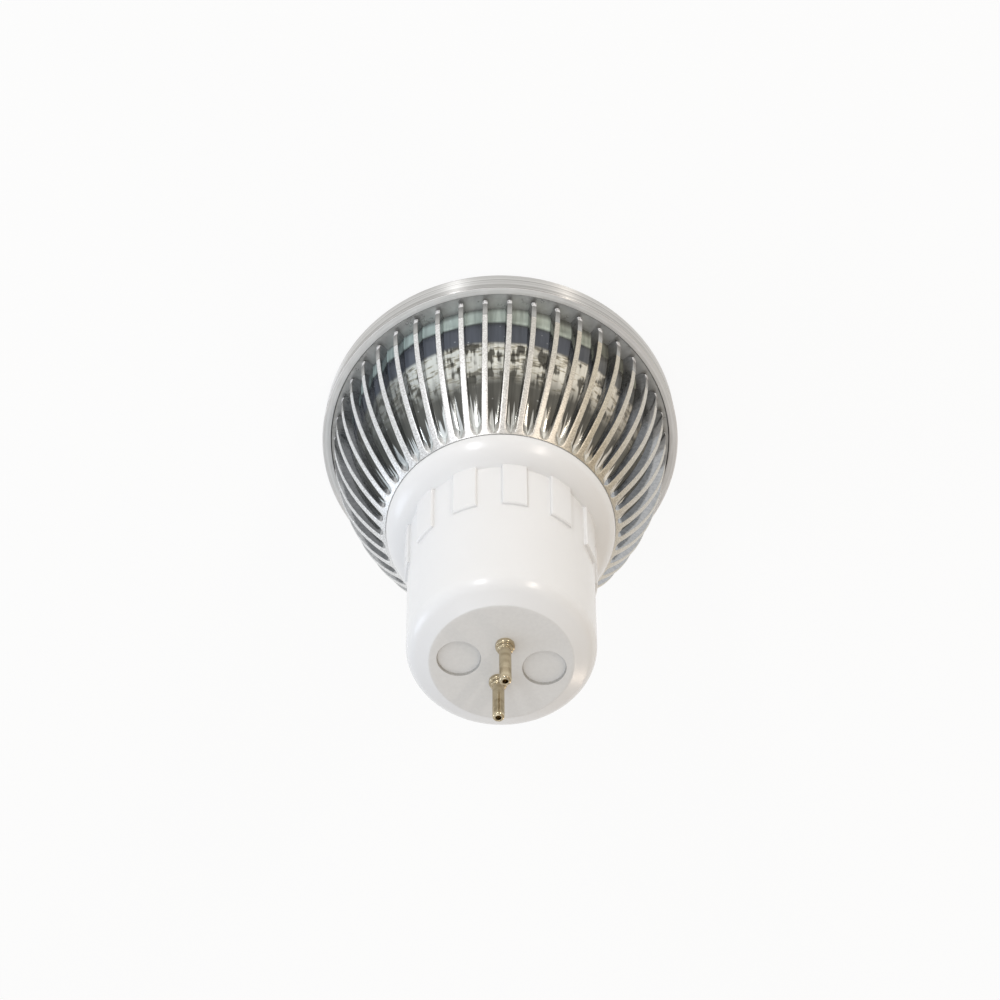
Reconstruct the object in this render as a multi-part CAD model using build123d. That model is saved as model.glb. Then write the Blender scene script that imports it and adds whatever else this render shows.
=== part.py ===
from build123d import *
from math import atan2, cos, degrees, hypot, pi, radians, sin, sqrt, tan
import os

# A reflector-style LED spotlight bulb of the 50 mm class with two contact pins 5.33 mm apart.
# Millimetres. The origin is the centre of the front ring's face, which is the plane that the
# bulb stands on, and +Z runs along the axis towards the contact pins. The pins stand in line
# along Y and the two round dimples of the base lie in line along X.

# Overall places along the axis
ring_height = 4.1
sink_top_z = 24.5
body_end_z = 50.5

# Front ring
ring_outer_radius = 25.0
ring_wall = 1.15
ring_lip_thickness = 1.0
ring_lip_width = 4.4
ring_back_dish = 0.4
ring_front_chamfer = 0.35
ring_back_chamfer = 0.12
lip_inner_bevel = 0.5

# Thread between ring and heat sink, drawn plain at its pitch surface
thread_clearance = 0.1
rim_wall = 1.55

# Front glass and its gasket
glass_thickness = 1.2
glass_edge_bevel = 0.15
gasket_thickness = 0.3
gasket_width = 1.0
seat_clearance = 0.2

# Heat sink
collar_ledge_z = 3.5
collar_front_gap = 0.15
crest_step = 0.35
neck_step = 0.1
crest_bulge = 2.0
fin_rim_height = 1.7
fin_neck_height = 1.1
groove_bulge = 1.95
fin_nose_radius = 0.8
fin_count = 45
fin_phase_deg = 3.0
fin_lean_deg = 2.4
groove_tip_step = 0.45
groove_tip_width = 1.25
groove_rim_width = 2.6
glass_ledge = 1.6
cup_taper = 2.7
floor_thickness = 3.0
disc_ledge = 1.0
disc_pocket_screw_wall = 0.4
lead_hole_radius = 2.0

# LED board, pad and emitters
board_edge_gap = 0.5
board_thickness = 1.6
board_front_z = 13.2
pad_thickness = 0.4
pad_margin = 0.7
emitter_count = 4
emitter_circle_radius = 10.04
emitter_side = 3.45
emitter_base_height = 0.8
emitter_dome_radius = 1.4

# Collimator lenses and their holder
lens_radius = 7.0
lens_rim_height = 0.8
lens_step = 0.5
lens_back_radius = 3.3
lens_back_gap = 1.0
lens_cavity_radius = 2.3
lens_cavity_depth = 3.4
lens_fit_gap = 0.06
holder_thickness = 1.4
holder_gap = 0.1
holder_edge_gap = 0.5
holder_leg_radius = 0.8
holder_leg_inset = 1.1
holder_leg_count = 4

# Screws that hold the LED board, and screws that hold the base housing
board_screw_inset = 3.9
board_screw_shank_radius = 0.95
board_screw_head_radius = 1.7
board_screw_head_height = 1.1
board_screw_length = 4.6
housing_screw_inset = 2.75
housing_screw_shank_radius = 1.0
housing_screw_head_radius = 1.9
housing_screw_head_height = 1.5
housing_screw_grip = 1.9
screw_hole_clearance = 0.15
screw_count = 2
slot_width = 0.45
slot_depth = 0.45

# Base housing
flange_radius = 14.75
flange_wall_height = 0.5
flange_height = 2.9
flange_curve_sag = 0.35
body_root_radius = 11.8
body_end_radius = 11.0
body_edge_radius = 2.9
wall = 1.3
end_wall = 2.0
spigot_height = 1.05
spigot_clearance = 0.15
lug_count = 12
lug_angle_deg = 15.2
lug_rise = 0.4
lug_length = 7.8
lug_phase_deg = 90.0
dimple_radius = 2.48
dimple_depth = 0.35
dimple_spacing = 9.82

# Contact pins
pin_spacing = 5.33
pin_radius = 0.73
pin_length = 6.2
pin_tip_round = 0.3
pin_tip_hole_radius = 0.32
pin_tip_hole_depth = 1.2
collar_radius = 1.1
collar_height = 0.45
upper_collar_radius = 0.92
upper_collar_height = 0.5
pin_tail_radius = 0.4
pin_tail_past_board = 0.5
pin_fit_gap = 0.03

# Driver board and what it carries
driver_radius = 9.3
driver_thickness = 1.2
driver_standoff = 2.7
standoff_rib_width = 1.4
standoff_rib_count = 4
capacitor_radius = 3.15
capacitor_height = 9.0
capacitor_crimp = 0.25
capacitor_place = (-4.3, 3.2)
inductor_radius = 3.3
inductor_height = 5.0
inductor_flange = 0.8
inductor_post_radius = 1.6
winding_radius = 2.8
winding_gap = 0.05
inductor_place = (4.2, 3.4)
bridge_size = (4.7, 3.6, 2.4)
bridge_place = (-3.7, -4.7)
bridge_leg_pitch = 2.54
chip_size = (4.9, 3.9, 1.5)
chip_place = (3.3, -4.5)
chip_leg_pitch = 1.27
leg_width = 0.4
leg_reach = 0.9
leg_thickness = 0.2
resistor_size = (2.0, 1.25, 0.6)
resistor_place = (0.0, -7.6)
ceramic_size = (3.2, 2.5, 1.7)
ceramic_place = (0.0, 7.2)

# Insulating disc and leads
disc_thickness = 0.5
disc_radius_gap = 0.2
lead_radius = 0.5
lead_offset = 0.8
lead_slack = 2.4
lead_pad_reach = 3.4

# Radii that follow from the sizes above
ring_lip_inner_radius = ring_outer_radius - ring_lip_width
thread_radius = ring_outer_radius - ring_wall - thread_clearance
glass_radius = thread_radius - rim_wall - seat_clearance
cup_mouth_radius = glass_radius - glass_ledge
cup_floor_radius = cup_mouth_radius - cup_taper
crest_start_radius = thread_radius - crest_step
crest_end_radius = flange_radius + neck_step
groove_tip_plan_radius = crest_end_radius + groove_tip_step
board_radius = cup_floor_radius - board_edge_gap
board_screw_circle_radius = board_radius - board_screw_inset
housing_screw_circle_radius = flange_radius - housing_screw_inset
disc_pocket_radius = housing_screw_circle_radius - housing_screw_shank_radius - disc_pocket_screw_wall
neck_bore_radius = disc_pocket_radius - disc_ledge
holder_radius = cup_mouth_radius - holder_edge_gap
holder_leg_circle_radius = board_radius - holder_leg_inset

# Places along the axis that follow from the sizes above
glass_front_z = ring_lip_thickness + gasket_thickness
glass_back_z = glass_front_z + glass_thickness
board_back_z = board_front_z + board_thickness
pad_back_z = board_back_z + pad_thickness
cavity_z = pad_back_z + floor_thickness
holder_front_z = glass_back_z + holder_gap
holder_back_z = holder_front_z + holder_thickness
lens_back_z = board_front_z - lens_back_gap
flange_top_z = sink_top_z + flange_height
inner_end_z = body_end_z - end_wall
driver_back_z = inner_end_z - driver_standoff
driver_front_z = driver_back_z - driver_thickness
disc_top_z = sink_top_z - spigot_height
disc_bottom_z = disc_top_z - disc_thickness


def turned(outline: Face) -> Part:
    """Turns a half section, drawn in the XZ plane, about the Z axis."""
    return revolve(outline, Axis.Z, 360)


def section(*corners) -> Face:
    """A half section with straight edges between (radius, z) corners."""
    return make_face(Polyline([(r, 0, z) for r, z in corners], close=True))


def section_of(edges) -> Face:
    """A half section bounded by edges that already lie in the XZ plane."""
    return make_face(edges)


def disc(radius: float, low: float, high: float, place=(0.0, 0.0)) -> Part:
    """A round plate or rod from low to high."""
    return Pos(place[0], place[1], low) * extrude(Circle(radius), high - low)


def block(size, low: float, place=(0.0, 0.0)) -> Part:
    """A rectangular block standing on low."""
    return Pos(place[0], place[1], low + size[2] / 2) * Box(*size)


def around(count: int, radius: float, first_deg: float = 0.0):
    """Places (x, y) spread evenly on a circle."""
    angles = [radians(first_deg + 360.0 * k / count) for k in range(count)]
    return [(radius * cos(a), radius * sin(a)) for a in angles]


class Bowl:
    """An arc in the radius and z plane, from the ledge at the rim to the top of the neck."""

    def __init__(self, start_radius: float, end_radius: float, bulge: float):
        rise = sink_top_z - collar_ledge_z
        run = end_radius - start_radius
        chord = hypot(rise, run)
        self.radius = (chord**2 / 4 + bulge**2) / (2 * bulge)
        back = self.radius - bulge
        self.centre_r = (start_radius + end_radius) / 2 - back * rise / chord
        self.centre_z = (collar_ledge_z + sink_top_z) / 2 + back * run / chord

    def at(self, z: float) -> float:
        """Radius of the bowl at a height."""
        return self.centre_r + sqrt(self.radius**2 - (z - self.centre_z) ** 2)

    def arc(self, low: float, high: float):
        """The arc between two heights."""
        return ThreePointArc(*[(self.at(z), 0, z) for z in (low, (low + high) / 2, high)])


crest = Bowl(crest_start_radius, crest_end_radius, crest_bulge)
groove_floor = Bowl(
    crest_start_radius - fin_rim_height, crest_end_radius - fin_neck_height, groove_bulge
)


def front_ring() -> Part:
    """Turned ring with a lip that holds the glass; its bore screws onto the heat sink."""
    bore = thread_radius + thread_clearance
    back = ring_height - ring_back_dish
    return turned(
        section(
            (ring_lip_inner_radius + lip_inner_bevel, 0),
            (ring_outer_radius - ring_front_chamfer, 0),
            (ring_outer_radius, ring_front_chamfer),
            (ring_outer_radius, ring_height - ring_back_chamfer),
            (ring_outer_radius - ring_back_chamfer, ring_height),
            (bore, back),
            (bore, ring_lip_thickness),
            (ring_lip_inner_radius, ring_lip_thickness),
            (ring_lip_inner_radius, lip_inner_bevel),
        )
    )


def front_glass() -> Part:
    """Flat clear disc with a small ground bevel on both edges."""
    inner = glass_radius - glass_edge_bevel
    return turned(
        section(
            (0, glass_front_z),
            (inner, glass_front_z),
            (glass_radius, glass_front_z + glass_edge_bevel),
            (glass_radius, glass_back_z - glass_edge_bevel),
            (inner, glass_back_z),
            (0, glass_back_z),
        )
    )


def glass_gasket() -> Part:
    """Flat silicone ring between the ring's lip and the glass."""
    outer = disc(glass_radius, ring_lip_thickness, glass_front_z)
    return outer - disc(glass_radius - gasket_width, ring_lip_thickness, glass_front_z)


def groove_plan(k: int) -> Face:
    """Plan outline of one groove: narrow and round by the neck, wide at the rim."""
    pitch = 360.0 / fin_count
    at_rim = radians(fin_phase_deg + pitch * (k + 0.5))
    at_tip = at_rim + radians(fin_lean_deg)
    tip_r = groove_tip_plan_radius + groove_tip_width / 2
    rim_r = crest_start_radius
    tip = Vector(tip_r * cos(at_tip), tip_r * sin(at_tip))
    rim = Vector(rim_r * cos(at_rim), rim_r * sin(at_rim))
    along = (rim - tip).normalized()
    widening = (groove_rim_width - groove_tip_width) / (rim - tip).length
    beyond = groove_rim_width
    far = rim + along * beyond
    far_width = groove_rim_width + widening * beyond
    side = Vector(-along.Y, along.X)
    heading = degrees(atan2(along.Y, along.X))
    edge_a = tip + side * (groove_tip_width / 2)
    edge_b = tip - side * (groove_tip_width / 2)
    far_a = far + side * (far_width / 2)
    far_b = far - side * (far_width / 2)
    end = CenterArc(tip, groove_tip_width / 2, heading + 90, 180)
    return make_face([end, Line(edge_a, far_a), Line(far_a, far_b), Line(far_b, edge_b)])


def heat_sink() -> Part:
    """Cast cup with leaning fins on its back, a threaded rim and a bored neck."""
    nose_z = collar_ledge_z + fin_nose_radius
    nose_r = crest.at(nose_z)
    nose_start = (nose_r - fin_nose_radius, 0, collar_ledge_z)
    half = fin_nose_radius * (1 - cos(pi / 4))
    nose_mid = (nose_r - half, 0, collar_ledge_z + half)
    fins = turned(
        section_of(
            [
                Line((0, 0, collar_ledge_z), nose_start),
                ThreePointArc(nose_start, nose_mid, (nose_r, 0, nose_z)),
                crest.arc(nose_z, sink_top_z),
                Line((crest.at(sink_top_z), 0, sink_top_z), (0, 0, sink_top_z)),
                Line((0, 0, sink_top_z), (0, 0, collar_ledge_z)),
            ]
        )
    )
    depth = sink_top_z - collar_ledge_z
    grooves = [
        Pos(0, 0, collar_ledge_z) * extrude(groove_plan(k), depth) for k in range(fin_count)
    ]
    fins = fins - grooves

    collar_front = ring_lip_thickness + collar_front_gap
    root_r = groove_floor.at(collar_ledge_z)
    top_r = groove_floor.at(sink_top_z)
    core = turned(
        section_of(
            [
                Polyline(
                    (0, 0, collar_front),
                    (thread_radius, 0, collar_front),
                    (thread_radius, 0, collar_ledge_z),
                    (root_r, 0, collar_ledge_z),
                ),
                groove_floor.arc(collar_ledge_z, sink_top_z),
                Polyline((top_r, 0, sink_top_z), (0, 0, sink_top_z), (0, 0, collar_front)),
            ]
        )
    )
    cavities = [
        disc(glass_radius + seat_clearance, collar_front, glass_back_z),
        turned(
            section(
                (0, glass_back_z),
                (cup_mouth_radius, glass_back_z),
                (cup_floor_radius, pad_back_z),
                (0, pad_back_z),
            )
        ),
        disc(lead_hole_radius, pad_back_z, cavity_z),
        disc(neck_bore_radius, cavity_z, sink_top_z),
        disc(disc_pocket_radius, disc_bottom_z, sink_top_z),
    ]
    for place in board_screw_places():
        tip_z = board_front_z + board_screw_length + screw_hole_clearance
        cavities.append(disc(board_screw_shank_radius, pad_back_z, tip_z, place))
    for place in housing_screw_places():
        head_top = pad_back_z + housing_screw_head_height
        clear_head = housing_screw_head_radius + screw_hole_clearance
        clear_shank = housing_screw_shank_radius + screw_hole_clearance
        cavities.append(disc(clear_head, pad_back_z, head_top, place))
        cavities.append(disc(clear_shank, pad_back_z, sink_top_z, place))
    return (core + fins) - cavities


def board_screw_places():
    """The LED board's screws stand on the X axis."""
    return around(screw_count, board_screw_circle_radius)


def housing_screw_places():
    """The housing's screws stand on the Y axis, under the LED board."""
    return around(screw_count, housing_screw_circle_radius, 90)


def emitter_places():
    """The emitters and lenses stand on the diagonals."""
    return around(emitter_count, emitter_circle_radius, 180.0 / emitter_count)


def led_board() -> Part:
    """Metal-cored circuit board with a lead hole and two screw holes."""
    holes = [disc(lead_hole_radius, board_front_z, board_back_z)]
    clear = board_screw_shank_radius + screw_hole_clearance
    holes += [disc(clear, board_front_z, board_back_z, p) for p in board_screw_places()]
    return disc(board_radius, board_front_z, board_back_z) - holes


def thermal_pad() -> Part:
    """Grey heat-conducting sheet between the LED board and the cup's floor."""
    holes = [disc(lead_hole_radius, board_back_z, pad_back_z)]
    clear = board_screw_shank_radius + screw_hole_clearance
    holes += [disc(clear, board_back_z, pad_back_z, p) for p in board_screw_places()]
    return disc(board_radius - pad_margin, board_back_z, pad_back_z) - holes


def led_emitter(place) -> Part:
    """Square ceramic base with a clear dome that faces the lens."""
    base_front = board_front_z - emitter_base_height
    base = block((emitter_side, emitter_side, emitter_base_height), base_front, place)
    ball = Pos(place[0], place[1], base_front) * Sphere(emitter_dome_radius)
    over = 2 * emitter_dome_radius
    keep = block((over, over, over), base_front - over, place)
    return base + (ball & keep)


def collimator_lens(place) -> Part:
    """Clear lens with a rim, a curved side that narrows to the back, and a hollow for the dome."""
    rim_back = holder_front_z + lens_rim_height
    side_r = lens_radius - lens_step
    middle = (
        (side_r + lens_back_radius) / 2 + lens_step,
        0,
        (rim_back + lens_back_z) / 2,
    )
    cavity_z0 = lens_back_z - lens_cavity_depth
    outline = [
        Polyline(
            (0, 0, holder_front_z),
            (lens_radius, 0, holder_front_z),
            (lens_radius, 0, rim_back),
            (side_r, 0, rim_back),
        ),
        ThreePointArc((side_r, 0, rim_back), middle, (lens_back_radius, 0, lens_back_z)),
        Polyline(
            (lens_back_radius, 0, lens_back_z),
            (lens_cavity_radius, 0, lens_back_z),
            (lens_cavity_radius, 0, cavity_z0),
            (0, 0, cavity_z0),
            (0, 0, holder_front_z),
        ),
    ]
    return Pos(place[0], place[1], 0) * turned(section_of(outline))


def lens_holder() -> Part:
    """Moulded plate with a stepped seat for each lens, on legs that stand on the LED board."""
    plate = disc(holder_radius, holder_front_z, holder_back_z)
    seat_z = holder_front_z + lens_rim_height
    cuts = []
    for place in emitter_places():
        cuts.append(disc(lens_radius + lens_fit_gap, holder_front_z, seat_z, place))
        cuts.append(disc(lens_radius - lens_step + lens_fit_gap, seat_z, holder_back_z, place))
    legs = [
        disc(holder_leg_radius, holder_back_z, board_front_z, place)
        for place in around(holder_leg_count, holder_leg_circle_radius)
    ]
    return (plate - cuts) + legs


def slotted_screw(place, head_z, head_r, head_h, shank_r, tip_z) -> Part:
    """Screw whose head's slotted face lies at head_z and looks to the front."""
    head = disc(head_r, head_z, head_z + head_h, place)
    shank = disc(shank_r, head_z + head_h, tip_z, place)
    slot = block((2.5 * head_r, slot_width, slot_depth), head_z, place)
    return head + shank - slot


def board_screws() -> Compound:
    """Screws through the LED board into the cup's floor."""
    head_z = board_front_z - board_screw_head_height
    tip_z = board_front_z + board_screw_length
    return Compound(
        children=[
            slotted_screw(
                place, head_z, board_screw_head_radius, board_screw_head_height,
                board_screw_shank_radius, tip_z,
            )
            for place in board_screw_places()
        ]
    )


def housing_screws() -> Compound:
    """Screws from the cup's floor into the flange of the base housing."""
    return Compound(
        children=[
            slotted_screw(
                place, pad_back_z, housing_screw_head_radius, housing_screw_head_height,
                housing_screw_shank_radius, sink_top_z + housing_screw_grip,
            )
            for place in housing_screw_places()
        ]
    )


def body_radius_at(z: float, inset: float = 0.0) -> float:
    """Radius of the tapered body at a height, or of a surface that lies inset within it."""
    share = (z - flange_top_z) / (body_end_z - body_edge_radius - flange_top_z)
    return body_root_radius + (body_end_radius - body_root_radius) * share - inset


def lug(k: int) -> Part:
    """One raised block on the body, standing on the flange."""
    low = sink_top_z + flange_wall_height
    high = flange_top_z + lug_length
    blank = turned(
        section(
            (body_radius_at(low, wall / 2), low),
            (body_radius_at(flange_top_z) + lug_rise, low),
            (body_radius_at(flange_top_z) + lug_rise, flange_top_z),
            (body_radius_at(high) + lug_rise, high),
            (body_radius_at(high, wall / 2), high),
        )
    )
    reach = 2 * body_root_radius
    half = radians(lug_angle_deg / 2)
    wedge = make_face(Polyline([(0, 0), (reach, -reach * tan(half)), (reach, reach * tan(half))],
                               close=True))
    piece = blank & (Pos(0, 0, low) * extrude(wedge, high - low))
    return Rot(0, 0, lug_phase_deg + 360.0 * k / lug_count) * piece


def base_housing() -> Part:
    """Moulded white body with a domed flange, lugs, a large end radius and two dimples."""
    edge_z = body_end_z - body_edge_radius
    edge_r = body_end_radius
    flat_r = edge_r - body_edge_radius
    half = body_edge_radius * (1 - cos(pi / 4))
    wall_top_z = sink_top_z + flange_wall_height
    dome_mid = (
        (flange_radius + body_root_radius) / 2 + flange_curve_sag,
        0,
        (wall_top_z + flange_top_z) / 2 + flange_curve_sag,
    )
    outline = [
        Polyline((0, 0, sink_top_z), (flange_radius, 0, sink_top_z), (flange_radius, 0, wall_top_z)),
        ThreePointArc((flange_radius, 0, wall_top_z), dome_mid, (body_root_radius, 0, flange_top_z)),
        Line((body_root_radius, 0, flange_top_z), (edge_r, 0, edge_z)),
        ThreePointArc(
            (edge_r, 0, edge_z), (edge_r - half, 0, body_end_z - half), (flat_r, 0, body_end_z)
        ),
        Polyline((flat_r, 0, body_end_z), (0, 0, body_end_z), (0, 0, sink_top_z)),
    ]
    shell = turned(section_of(outline)) + [lug(k) for k in range(lug_count)]
    spigot_r = disc_pocket_radius - spigot_clearance
    shell += disc(spigot_r, disc_top_z, sink_top_z)
    inner_round = body_edge_radius - wall
    end_inner = body_end_radius - wall
    root_inner = spigot_r - wall
    hollow = turned(
        section(
            (0, disc_top_z),
            (root_inner, disc_top_z),
            (root_inner, flange_top_z),
            (body_radius_at(flange_top_z, wall), flange_top_z + wall),
            (end_inner, inner_end_z - inner_round),
            (end_inner - inner_round, inner_end_z),
            (0, inner_end_z),
        )
    )
    shell -= hollow
    rib_reach = body_radius_at(driver_back_z, wall / 2)
    rib_start = driver_radius - 2 * standoff_rib_width
    rib_length = rib_reach - rib_start
    for k in range(standoff_rib_count):
        angle = 45 + 360.0 * k / standoff_rib_count
        rib = block(
            (rib_length, standoff_rib_width, inner_end_z - driver_back_z),
            driver_back_z,
            (rib_start + rib_length / 2, 0),
        )
        envelope = disc(body_radius_at(inner_end_z, wall), driver_back_z, inner_end_z)
        shell += (Rot(0, 0, angle) * rib) & envelope
    for side in (-1, 1):
        shell -= disc(
            dimple_radius, body_end_z - dimple_depth, body_end_z, (side * dimple_spacing / 2, 0)
        )
        shell -= disc(pin_tail_radius + pin_fit_gap, inner_end_z, body_end_z,
                      (0, side * pin_spacing / 2))
    for place in housing_screw_places():
        shell -= disc(housing_screw_shank_radius, sink_top_z, sink_top_z + housing_screw_grip, place)
    return shell


def contact_pin(side: int) -> Part:
    """Turned pin with a two-step collar, a hollow tip and a tail that is soldered in the board."""
    tip_z = body_end_z + pin_length
    tail_z = driver_front_z - pin_tail_past_board
    first_z = body_end_z + collar_height
    second_z = first_z + upper_collar_height
    outline = section(
        (0, tail_z),
        (pin_tail_radius, tail_z),
        (pin_tail_radius, body_end_z),
        (collar_radius, body_end_z),
        (collar_radius, first_z),
        (upper_collar_radius, first_z),
        (upper_collar_radius, second_z),
        (pin_radius, second_z),
        (pin_radius, tip_z - pin_tip_round),
        (pin_radius - pin_tip_round * 0.7, tip_z),
        (pin_tip_hole_radius, tip_z),
        (pin_tip_hole_radius, tip_z - pin_tip_hole_depth),
        (0, tip_z - pin_tip_hole_depth),
    )
    return Pos(0, side * pin_spacing / 2, 0) * turned(outline)


def driver_board() -> Part:
    """Round circuit board that the pins' tails pass through, held against the housing's ribs."""
    board = disc(driver_radius, driver_front_z, driver_back_z)
    for side in (-1, 1):
        board -= disc(
            pin_tail_radius + pin_fit_gap, driver_front_z, driver_back_z, (0, side * pin_spacing / 2)
        )
    return board


def smoothing_capacitor() -> Part:
    """Electrolytic can with the crimp groove near its rubber end."""
    low = driver_front_z - capacitor_height
    can = disc(capacitor_radius, low, driver_front_z, capacitor_place)
    crimp_z = driver_front_z - 3 * capacitor_crimp
    outer = disc(capacitor_radius, crimp_z - 2 * capacitor_crimp, crimp_z, capacitor_place)
    inner = disc(
        capacitor_radius - capacitor_crimp, crimp_z - 2 * capacitor_crimp, crimp_z, capacitor_place
    )
    return can - (outer - inner)


def inductor_core() -> Part:
    """Ferrite drum with two flanges."""
    low = driver_front_z - inductor_height
    upper = disc(inductor_radius, driver_front_z - inductor_flange, driver_front_z, inductor_place)
    lower = disc(inductor_radius, low, low + inductor_flange, inductor_place)
    return upper + lower + disc(inductor_post_radius, low, driver_front_z, inductor_place)


def inductor_winding() -> Part:
    """Copper winding on the drum, as one closed coil."""
    low = driver_front_z - inductor_height + inductor_flange
    high = driver_front_z - inductor_flange
    coil = disc(winding_radius, low, high, inductor_place)
    return coil - disc(inductor_post_radius + winding_gap, low, high, inductor_place)


def legged_package(size, place, leg_count: int, leg_pitch: float) -> Part:
    """Moulded package on the board's face with a row of feet along each long side."""
    body = block(size, driver_front_z - size[2], place)
    foot = (leg_width, leg_reach, leg_thickness)
    legs = []
    for side in (-1, 1):
        y = place[1] + side * (size[1] + leg_reach) / 2
        for k in range(leg_count):
            x = place[0] + (k - (leg_count - 1) / 2) * leg_pitch
            legs.append(block(foot, driver_front_z - leg_thickness, (x, y)))
    return body + legs


def bridge_rectifier() -> Part:
    """Four-legged rectifier package."""
    return legged_package(bridge_size, bridge_place, 2, bridge_leg_pitch)


def driver_chip() -> Part:
    """Eight-legged driver package."""
    return legged_package(chip_size, chip_place, 4, chip_leg_pitch)


def sense_resistor() -> Part:
    """Flat chip resistor."""
    return block(resistor_size, driver_front_z - resistor_size[2], resistor_place)


def ceramic_capacitor() -> Part:
    """Ceramic chip capacitor."""
    return block(ceramic_size, driver_front_z - ceramic_size[2], ceramic_place)


def insulating_disc() -> Part:
    """Fibre disc that the housing's spigot clamps in the neck, with a hole for the leads."""
    plate = disc(disc_pocket_radius - disc_radius_gap, disc_bottom_z, disc_top_z)
    return plate - disc(lead_hole_radius, disc_bottom_z, disc_top_z)


def lead(side: int) -> Part:
    """Insulated lead from the driver board through the neck to a pad on the LED board."""
    x = side * lead_offset
    top_z = driver_front_z
    rest_z = board_front_z - lead_radius
    low_free = disc_top_z + (top_z - disc_top_z) * 0.15
    mid_free = disc_top_z + (top_z - disc_top_z) * 0.4
    top_free = disc_top_z + (top_z - disc_top_z) * 0.65
    points = [
        (x, 0, top_z),
        (x, 0, top_free),
        (x + side * lead_slack, 0, mid_free),
        (x, 0, low_free),
        (x, 0, rest_z),
        (x + side * lead_pad_reach, 0, rest_z),
    ]
    radii = [corner_radius(points[k - 1], points[k], points[k + 1]) for k in range(1, 5)]
    path = FilletPolyline(*points, radius=radii)
    print("lead", side, "radii", [round(r, 2) for r in radii], "length", round(path.length, 2))
    profile = Pos(*points[0]) * Circle(lead_radius)
    return sweep(profile, path)


def corner_radius(before, corner, after) -> float:
    """As large an arc as the two runs at a corner leave room for."""
    first = Vector(*corner) - Vector(*before)
    second = Vector(*after) - Vector(*corner)
    turn = radians(first.get_angle(second))
    return 0.45 * min(first.length, second.length) / tan(turn / 2)


pieces = {
    "front_ring": front_ring(),
    "front_glass": front_glass(),
    "glass_gasket": glass_gasket(),
    "lens_holder": lens_holder(),
    "led_board": led_board(),
    "thermal_pad": thermal_pad(),
    "board_screws": board_screws(),
    "heat_sink": heat_sink(),
    "housing_screws": housing_screws(),
    "base_housing": base_housing(),
    "contact_pin_a": contact_pin(-1),
    "contact_pin_b": contact_pin(1),
    "driver_board": driver_board(),
    "smoothing_capacitor": smoothing_capacitor(),
    "inductor_core": inductor_core(),
    "inductor_winding": inductor_winding(),
    "bridge_rectifier": bridge_rectifier(),
    "driver_chip": driver_chip(),
    "sense_resistor": sense_resistor(),
    "ceramic_capacitor": ceramic_capacitor(),
    "insulating_disc": insulating_disc(),
    "lead_positive": lead(1),
    "lead_negative": lead(-1),
}
for k, place in enumerate(emitter_places(), start=1):
    pieces[f"led_emitter_{k}"] = led_emitter(place)
    pieces[f"collimator_lens_{k}"] = collimator_lens(place)

os.makedirs("parts", exist_ok=True)
for name, piece in pieces.items():
    export_step(piece, f"parts/{name}.step")
    print(name, "volume", round(piece.volume, 1))
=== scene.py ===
"""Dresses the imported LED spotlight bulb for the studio.

The bulb stands on its front ring with its contact pins up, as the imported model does. Sizes are
in millimetres and are turned to metres where a mesh is made.
"""
import logging
from collections.abc import Sequence
from dataclasses import dataclass, field
from enum import Enum
from math import acos, asin, atan2, cos, degrees, hypot, pi, radians, sin, sqrt
from typing import Any

import bmesh
import bpy
from mathutils import Matrix, Vector


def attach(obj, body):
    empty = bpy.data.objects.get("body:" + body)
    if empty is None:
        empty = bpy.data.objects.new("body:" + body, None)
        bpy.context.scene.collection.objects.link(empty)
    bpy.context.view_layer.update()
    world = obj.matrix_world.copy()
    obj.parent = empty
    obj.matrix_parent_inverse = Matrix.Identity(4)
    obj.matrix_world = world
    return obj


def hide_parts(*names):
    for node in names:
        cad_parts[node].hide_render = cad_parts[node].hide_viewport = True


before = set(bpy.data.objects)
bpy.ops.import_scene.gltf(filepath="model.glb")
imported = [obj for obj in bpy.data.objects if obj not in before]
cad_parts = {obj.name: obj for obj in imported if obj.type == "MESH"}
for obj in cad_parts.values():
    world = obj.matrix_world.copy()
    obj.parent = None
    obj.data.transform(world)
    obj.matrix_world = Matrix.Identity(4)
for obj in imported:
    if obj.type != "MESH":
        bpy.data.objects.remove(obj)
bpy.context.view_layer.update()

Tree = bpy.types.NodeTree
Node = bpy.types.Node
Socket = bpy.types.NodeSocket
BMesh = bmesh.types.BMesh
Stops = tuple[tuple[float, str], ...]

MM = 0.001
MERGE = 0.0005 * MM
FULL_TURN = 2 * pi
SHARP = radians(32)
BODY = "root"
# A quarter round's middle point lies at this share of its size from each of its sides.
ARC_MIDDLE = 0.3
# Settings of a node that multiplies two colours.
MULTIPLY = {"data_type": "RGBA", "blend_type": "MULTIPLY", "Factor": 1.0}

log = logging.getLogger("bulb")


def linear(code: str) -> tuple[float, float, float, float]:
    """Turns an sRGB hex colour to linear.

    Args:
        code: Six hex digits after a hash sign.

    Returns:
        Linear red, green, blue and an alpha of one.
    """
    parts = [int(code[k : k + 2], 16) / 255 for k in (1, 3, 5)]
    channels = [c / 12.92 if c <= 0.04045 else ((c + 0.055) / 1.055) ** 2.4 for c in parts]
    return (channels[0], channels[1], channels[2], 1.0)


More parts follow.
